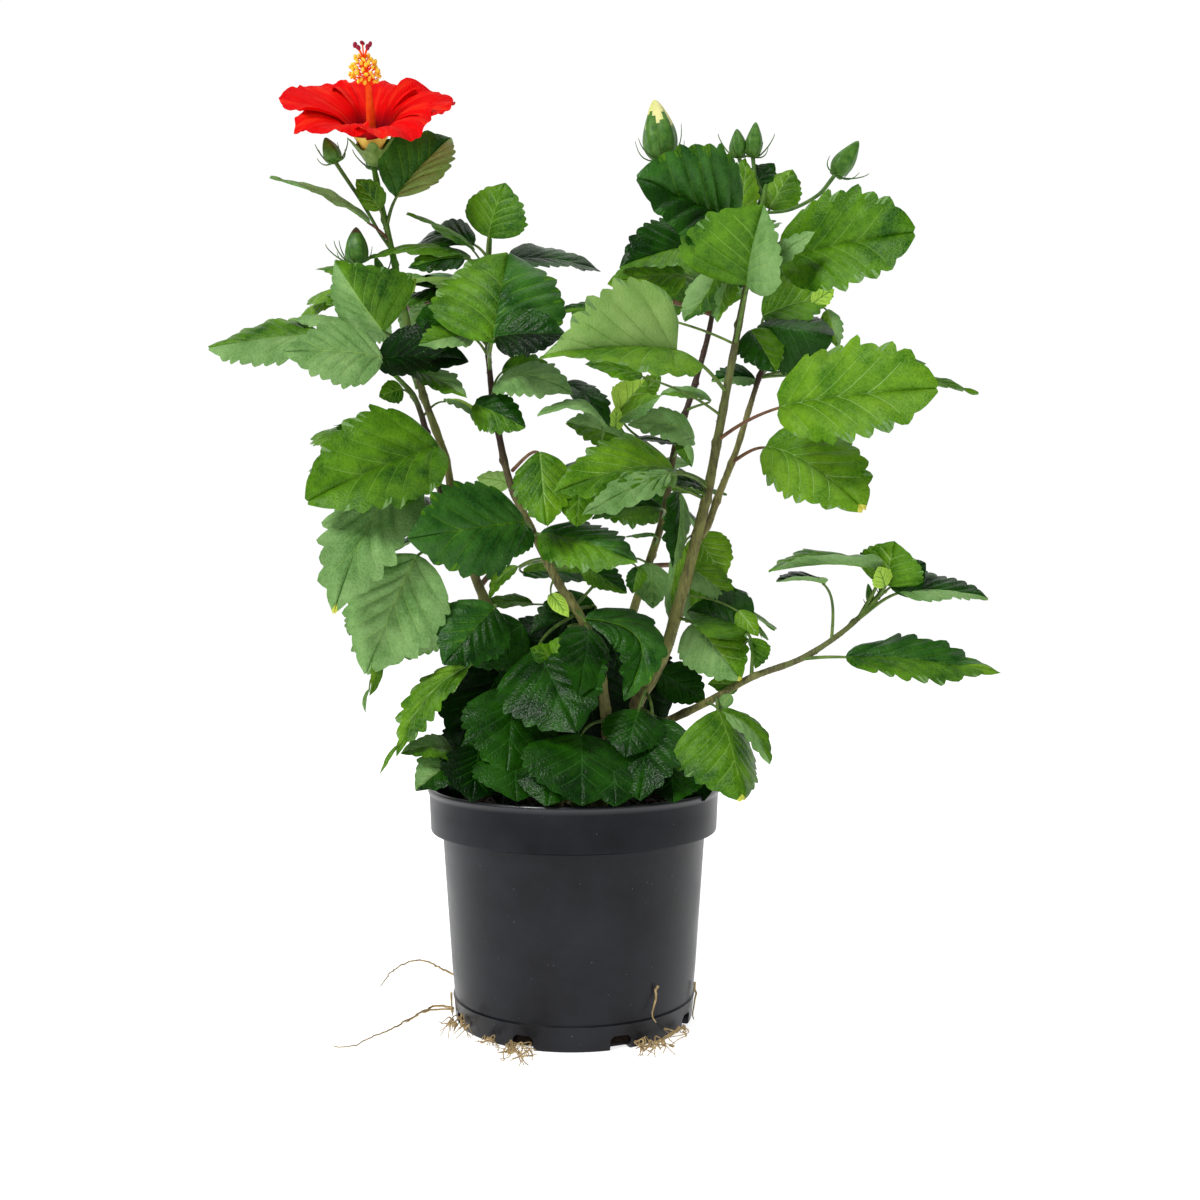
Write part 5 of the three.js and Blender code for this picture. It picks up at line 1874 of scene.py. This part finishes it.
@dataclass
class Pot:
    """The nursery pot: thin tapering wall, wider band under a rolled lip, foot step and drain notches."""

    height: float = 135.0
    rim: float = 85.0
    band: float = 83.2
    band_height: float = 25.0
    shoulder: float = 76.4
    foot: float = 69.0
    foot_step: float = 14.0
    wall: float = 1.8
    floor: float = 2.6
    sides: int = 144
    notches: int = 8
    notch_width: float = 12.0
    notch_height: float = 8.0
    crease: float = 30.0

    def profile(self) -> list[tuple[float, float]]:
        """Return radius and height round the wall's section, from the centre below to the centre above."""
        low = self.height - self.band_height
        lip = [(self.rim - 1 + 1.1 * math.cos(turn), self.height - 1.7 + 1.7 * math.sin(turn))
               for turn in np.linspace(-0.9, math.pi * 0.62, 9)]
        return [
            (0, 0), (self.foot - 12, 0), (self.foot - 1.2, 0), (self.foot - 0.3, 0.4), (self.foot, 1.5),
            (self.foot + 1.1, self.foot_step - 0.8), (self.foot + 1.5, self.foot_step),
            (self.foot + 0.6, self.foot_step + 0.9), (self.foot + 2.0, self.foot_step + 16),
            (self.shoulder - 0.15, low - 4), (self.shoulder + 0.3, low - 2.2),
            (self.band - 1.2, low - 0.7), (self.band - 0.3, low - 0.3), (self.band, low + 0.6),
            (self.band + 0.5, low + 12), (self.band + 0.9, self.height - 5), *lip,
            (self.band + 0.9 - self.wall, self.height - 0.6), (self.band + 0.3 - self.wall, self.height - 6),
            (self.band - self.wall, low + 2.4), (self.shoulder + 0.6 - self.wall, low + 0.6),
            (self.shoulder - self.wall, low - 2), (self.foot + 0.4 - self.wall, self.floor + 1.5),
            (self.foot - 3.4, self.floor), (0, self.floor)]

    def build(self) -> None:
        """Make the pot."""
        profile = np.array(self.profile())
        inner = profile[1:-1]
        angle = np.linspace(0, math.tau, self.sides, endpoint=False)
        skin = Skin(crease=self.crease, mapped=False)
        skin.add_rings(about_axis(inner[:, :1], angle, inner[:, 1:]), ((0, 0, 0), (0, 0, self.floor)))
        piece = skin.build("nursery_pot", [PotFinish().make()])
        self.cut_notches(piece)
        hand_in(piece, Slot.POT, "pot")

    def cut_notches(self, piece: Object) -> None:
        """Cut the drain notches out of the foot.

        Args:
            piece: the pot.
        """
        half = self.notch_width / 2
        points, faces = [], []
        for notch in range(self.notches):
            turn = (notch + 0.5) / self.notches * math.tau
            out = np.array((math.cos(turn), math.sin(turn), 0))
            side = np.array((-math.sin(turn), math.cos(turn), 0))
            section = [(-half, -3), (half, -3), (half, self.notch_height - 2), (half - 2, self.notch_height),
                       (2 - half, self.notch_height), (-half, self.notch_height - 2)]
            first = len(points)
            for reach in (self.foot - 7, self.foot + 7):
                points += [out * reach + side * x + UP * z for x, z in section]
            faces += [(*range(first + 5, first - 1, -1),), (*range(first + 6, first + 12),)]
            faces += [(first + i, first + (i + 1) % 6, first + 6 + (i + 1) % 6, first + 6 + i)
                      for i in range(6)]
        cutter = add_object("notch_cutter", plain_mesh("notch_cutter", points, (), faces))
        cut = piece.modifiers.new("notches", "BOOLEAN")
        cut.operation, cut.object, cut.solver = "DIFFERENCE", cutter, "EXACT"
        result = bpy.data.meshes.new_from_object(piece.evaluated_get(bpy.context.evaluated_depsgraph_get()))
        piece.modifiers.clear()
        piece.data = result
        bpy.data.objects.remove(cutter)
        result.set_sharp_from_angle(angle=math.radians(self.crease))


@dataclass
class Compost:
    """The compost in the pot: an uneven surface, strewn with crumbs."""

    top: float = 121.0
    radius: float = 80.9
    sides: int = 96
    rings: int = 30
    innermost: float = 3.0
    uneven: float = 1.6
    wall: tuple = ((67.0, 2.95), (71.0, 60.0), (74.2, 110.6), (80.4, 114.5), (80.9, 118.0))
    crumb_density: float = 60000.0
    crumb_small: float = 0.0006
    crumb_large: float = 0.0021
    crumb_height: float = 0.7

    def level(self, radius: Array, angle: Array) -> Array:
        """Return the surface's height at each radius and angle."""
        broad = np.sin(3 * angle + radius / 9) + 0.6 * np.sin(7 * angle - radius / 5)
        fine = np.sin(23 * angle + radius * 1.3) * np.sin(radius * 0.9 - 11 * angle)
        return self.top + np.clip((radius - 20) / 10, 0, 1) * (self.uneven * broad - 0.4) * 0.8 + 0.5 * fine

    def build(self) -> None:
        """Make the compost and strew its crumbs."""
        angle = np.linspace(0, math.tau, self.sides, endpoint=False)
        rings = [about_axis(radius, angle, height) for radius, height in self.wall]
        for radius in np.linspace(self.radius - 0.6, self.innermost, self.rings):
            rings.append(about_axis(radius, angle, self.level(radius, angle)))
        rings = np.array(rings)
        skin = Skin(mapped=False)
        skin.add_rings(rings, ((0, 0, self.wall[0][1]), (0, 0, self.top)))
        earth = GrainFinish("compost_earth", (0.003, 0.002, 0.0015), (0.016, 0.010, 0.006), 240.0, 0.95,
                            0.10, 0.9, 0.002)
        piece = skin.build("compost", [earth.make()])
        upper = rings[len(self.wall):]
        ground = plain_mesh("compost_top", upper.reshape(-1, 3), (), grid_quads(*upper.shape[:2]).tolist())
        hand_in(scatter("compost_crumbs", ground, earth.make(), self.crumb_density, self.crumb_small,
                        self.crumb_large, self.crumb_height), Slot.COMPOST)
        hand_in(piece, Slot.COMPOST, "soil")


def floor_place(x: float, z: float, lift: float) -> Array:
    """Turn a place seen on the floor into a point just above it.

    Args:
        x: its x on the elevation.
        z: its z on the elevation.
        lift: its height over the floor.

    Returns:
        The point, in millimetres.
    """
    sight = np.array((x, 0.0, z)) - EYE
    return EYE + sight * (lift - EYE[2]) / sight[2]


@dataclass
class StrayRoots:
    """Thin roots that have grown out of the drain notches and lie round the pot's foot."""

    strands: tuple = (
        ((-66, 20, 2), (-78, 26, 1.6), (-90, 31, 2.4), (-99, 29, 2), (-107, 24, 2), (-113, 16, 3)),
        ((-66, 2, 2), (-80, 4, 1.4), (-92, -1, 2.2), (-104, -8, 1.2), (-120, -15, 1.6), (-132, -20, 1),
         (-141, -20, 1)),
        ((-66, 1, 6), (-76, 2, 2), (-88, 1, 1.5), (-98, -6, 1)),
        ((66, -8, 4), (56, -14, 3), (47, -19, 1.2), (36, -21, 2)),
        ((62, -9, 9), (50, -17, 5), (42, -22, 2)),
    )
    climbing: tuple = (
        ((49, 16, -56), (48, 8, -57), (46, 1, -59), (47, -6, -62)),
        ((-71, 12, -4), (-69, 5, -8), (-67, -1, -14)),
        ((70, 18, -20), (71, 10, -18), (69, 2, -20), (70, -4, -24)),
    )
    tufts: tuple = (
        (-66, -7, 6, 22), (-34, -22, 8, 26), (-52, -16, 6, 8), (46, -19, 10, 24), (62, -11, 5, 8))
    foot: float = 71.2
    lowest: float = 0.55
    girths: tuple = (0.75, 0.3)
    sides: int = 7
    seed: int = SEED + 31

    def clear(self, path: Array) -> Array:
        """Move the points of a path out of the pot and up to the floor."""
        radius = np.maximum(np.linalg.norm(path[:, :2], axis=1), 1e-6)
        path[:, :2] *= np.maximum(1.0, (self.foot + path[:, 2] * 0.04) / radius)[:, None]
        path[:, 2] = np.maximum(path[:, 2], self.lowest)
        return path

    def build(self) -> None:
        """Make the roots."""
        rng = np.random.default_rng(self.seed)
        made = []
        routes = [[floor_place(*spot) for spot in route] for route in self.strands]
        routes += [place(route) for route in self.climbing]
        for route in routes:
            path = smooth_path(np.array(route), 2.5)
            path = self.clear(path + rng.normal(0, 0.4, path.shape) * (1, 1, 0.4))
            made.append(Strand(path, np.linspace(*self.girths, len(path))))
        for x, z, width, count in self.tufts:
            for _ in range(count):
                start = floor_place(
                    x + rng.uniform(-width, width), z + rng.uniform(-1, 3), rng.uniform(1, 11))
                end = start + (rng.uniform(-9, 9), rng.uniform(-4, 5), 0)
                end[2] = rng.uniform(0.5, 4.0)
                first, second = (start + rng.normal(0, 4, 3) for _ in range(2))
                path = self.clear(bezier(start, first, second, end, 12))
                made.append(Strand(path, np.linspace(rng.uniform(0.3, 0.55), 0.2, 12)))
        tan = GrainFinish("root_tan", (0.20, 0.13, 0.05), (0.58, 0.43, 0.21), 300.0, 0.85)
        hand_in(skin_strands("stray_roots", made, self.sides, tan.make()), Slot.BARK)


# ---------- studio


@dataclass
class Studio:
    """A white room with broad soft lights, and the camera."""

    lens: float = 40.5
    sensor: float = 36.0
    look_down: float = 0.7
    floor_size: float = 60.0
    floor_glow: float = 0.81
    room_light: float = 0.11
    wall_light: float = 1.02
    aim: tuple = (0, 0, 0.3)
    lamps: tuple = (("key", (-1.3, -1.5, 2.0), 0.7, 48.0), ("top", (0.3, 0.2, 2.4), 1.6, 14.0),
                    ("fill", (1.6, -1.4, 1.0), 1.8, 3.0))

    def build(self) -> None:
        """Make the floor, the world, the lights and the camera."""
        scene = bpy.context.scene
        scene.view_settings.view_transform = "Standard"
        scene.view_settings.look = "None"
        corners = np.array(((-1, -1, 0), (1, -1, 0), (1, 1, 0), (-1, 1, 0))) * self.floor_size / 2 / MM
        floor = add_object("studio_floor", plain_mesh("studio_floor", corners, (), [(0, 1, 2, 3)]))
        white = GrainFinish("studio_white", (0.80, 0.80, 0.80), (0.83, 0.83, 0.83), 40.0, 0.9, 0.1, 0.02)
        floor.data.materials.append(white.make())
        glow = floor.data.materials[0].node_tree.nodes["Principled BSDF"].inputs
        glow["Emission Color"].default_value = (1, 1, 1, 1)
        glow["Emission Strength"].default_value = self.floor_glow
        scene.world = bpy.data.worlds.new("studio_world")
        scene.world.use_nodes = True
        sky = Tree(scene.world.node_tree, "ShaderNode")
        height = sky.node("SeparateXYZ", {0: sky.node("TexCoord", output="Generated")}, "Y")
        dusk = sky.node("MapRange", {0: height, 1: 0.45, 2: 0.75, 3: self.room_light, 4: self.wall_light})
        background = sky.tree.nodes["Background"].inputs
        background["Color"].default_value = (1, 1, 1, 1)
        sky.tree.links.new(dusk, background["Strength"])
        for name, spot, size, power in self.lamps:
            light = bpy.data.lights.new(name, "AREA")
            light.shape, light.size, light.energy = "SQUARE", size, power
            lamp = add_object(name, light)
            lamp.location = spot
            lamp.rotation_euler = (Vector(self.aim) - Vector(spot)).to_track_quat("-Z", "Y").to_euler()
        camera = bpy.data.cameras.new("camera")
        camera.lens, camera.sensor_width, camera.clip_start = self.lens, self.sensor, 0.01
        stand = add_object("camera", camera)
        stand.location = tuple(EYE * MM)
        stand.rotation_euler = (math.radians(90 - self.look_down), 0, 0)
        scene.camera = stand


def main() -> None:
    """Build the plant and the studio, in order."""
    logging.basicConfig(level=logging.INFO, format="%(name)s: %(message)s")
    Pot().build()
    Compost().build()
    Limbs().build()
    Crown().build()
    Bloom().build()
    Buds().build()
    StrayRoots().build()
    Studio().build()


if __name__ == "__main__":
    main()
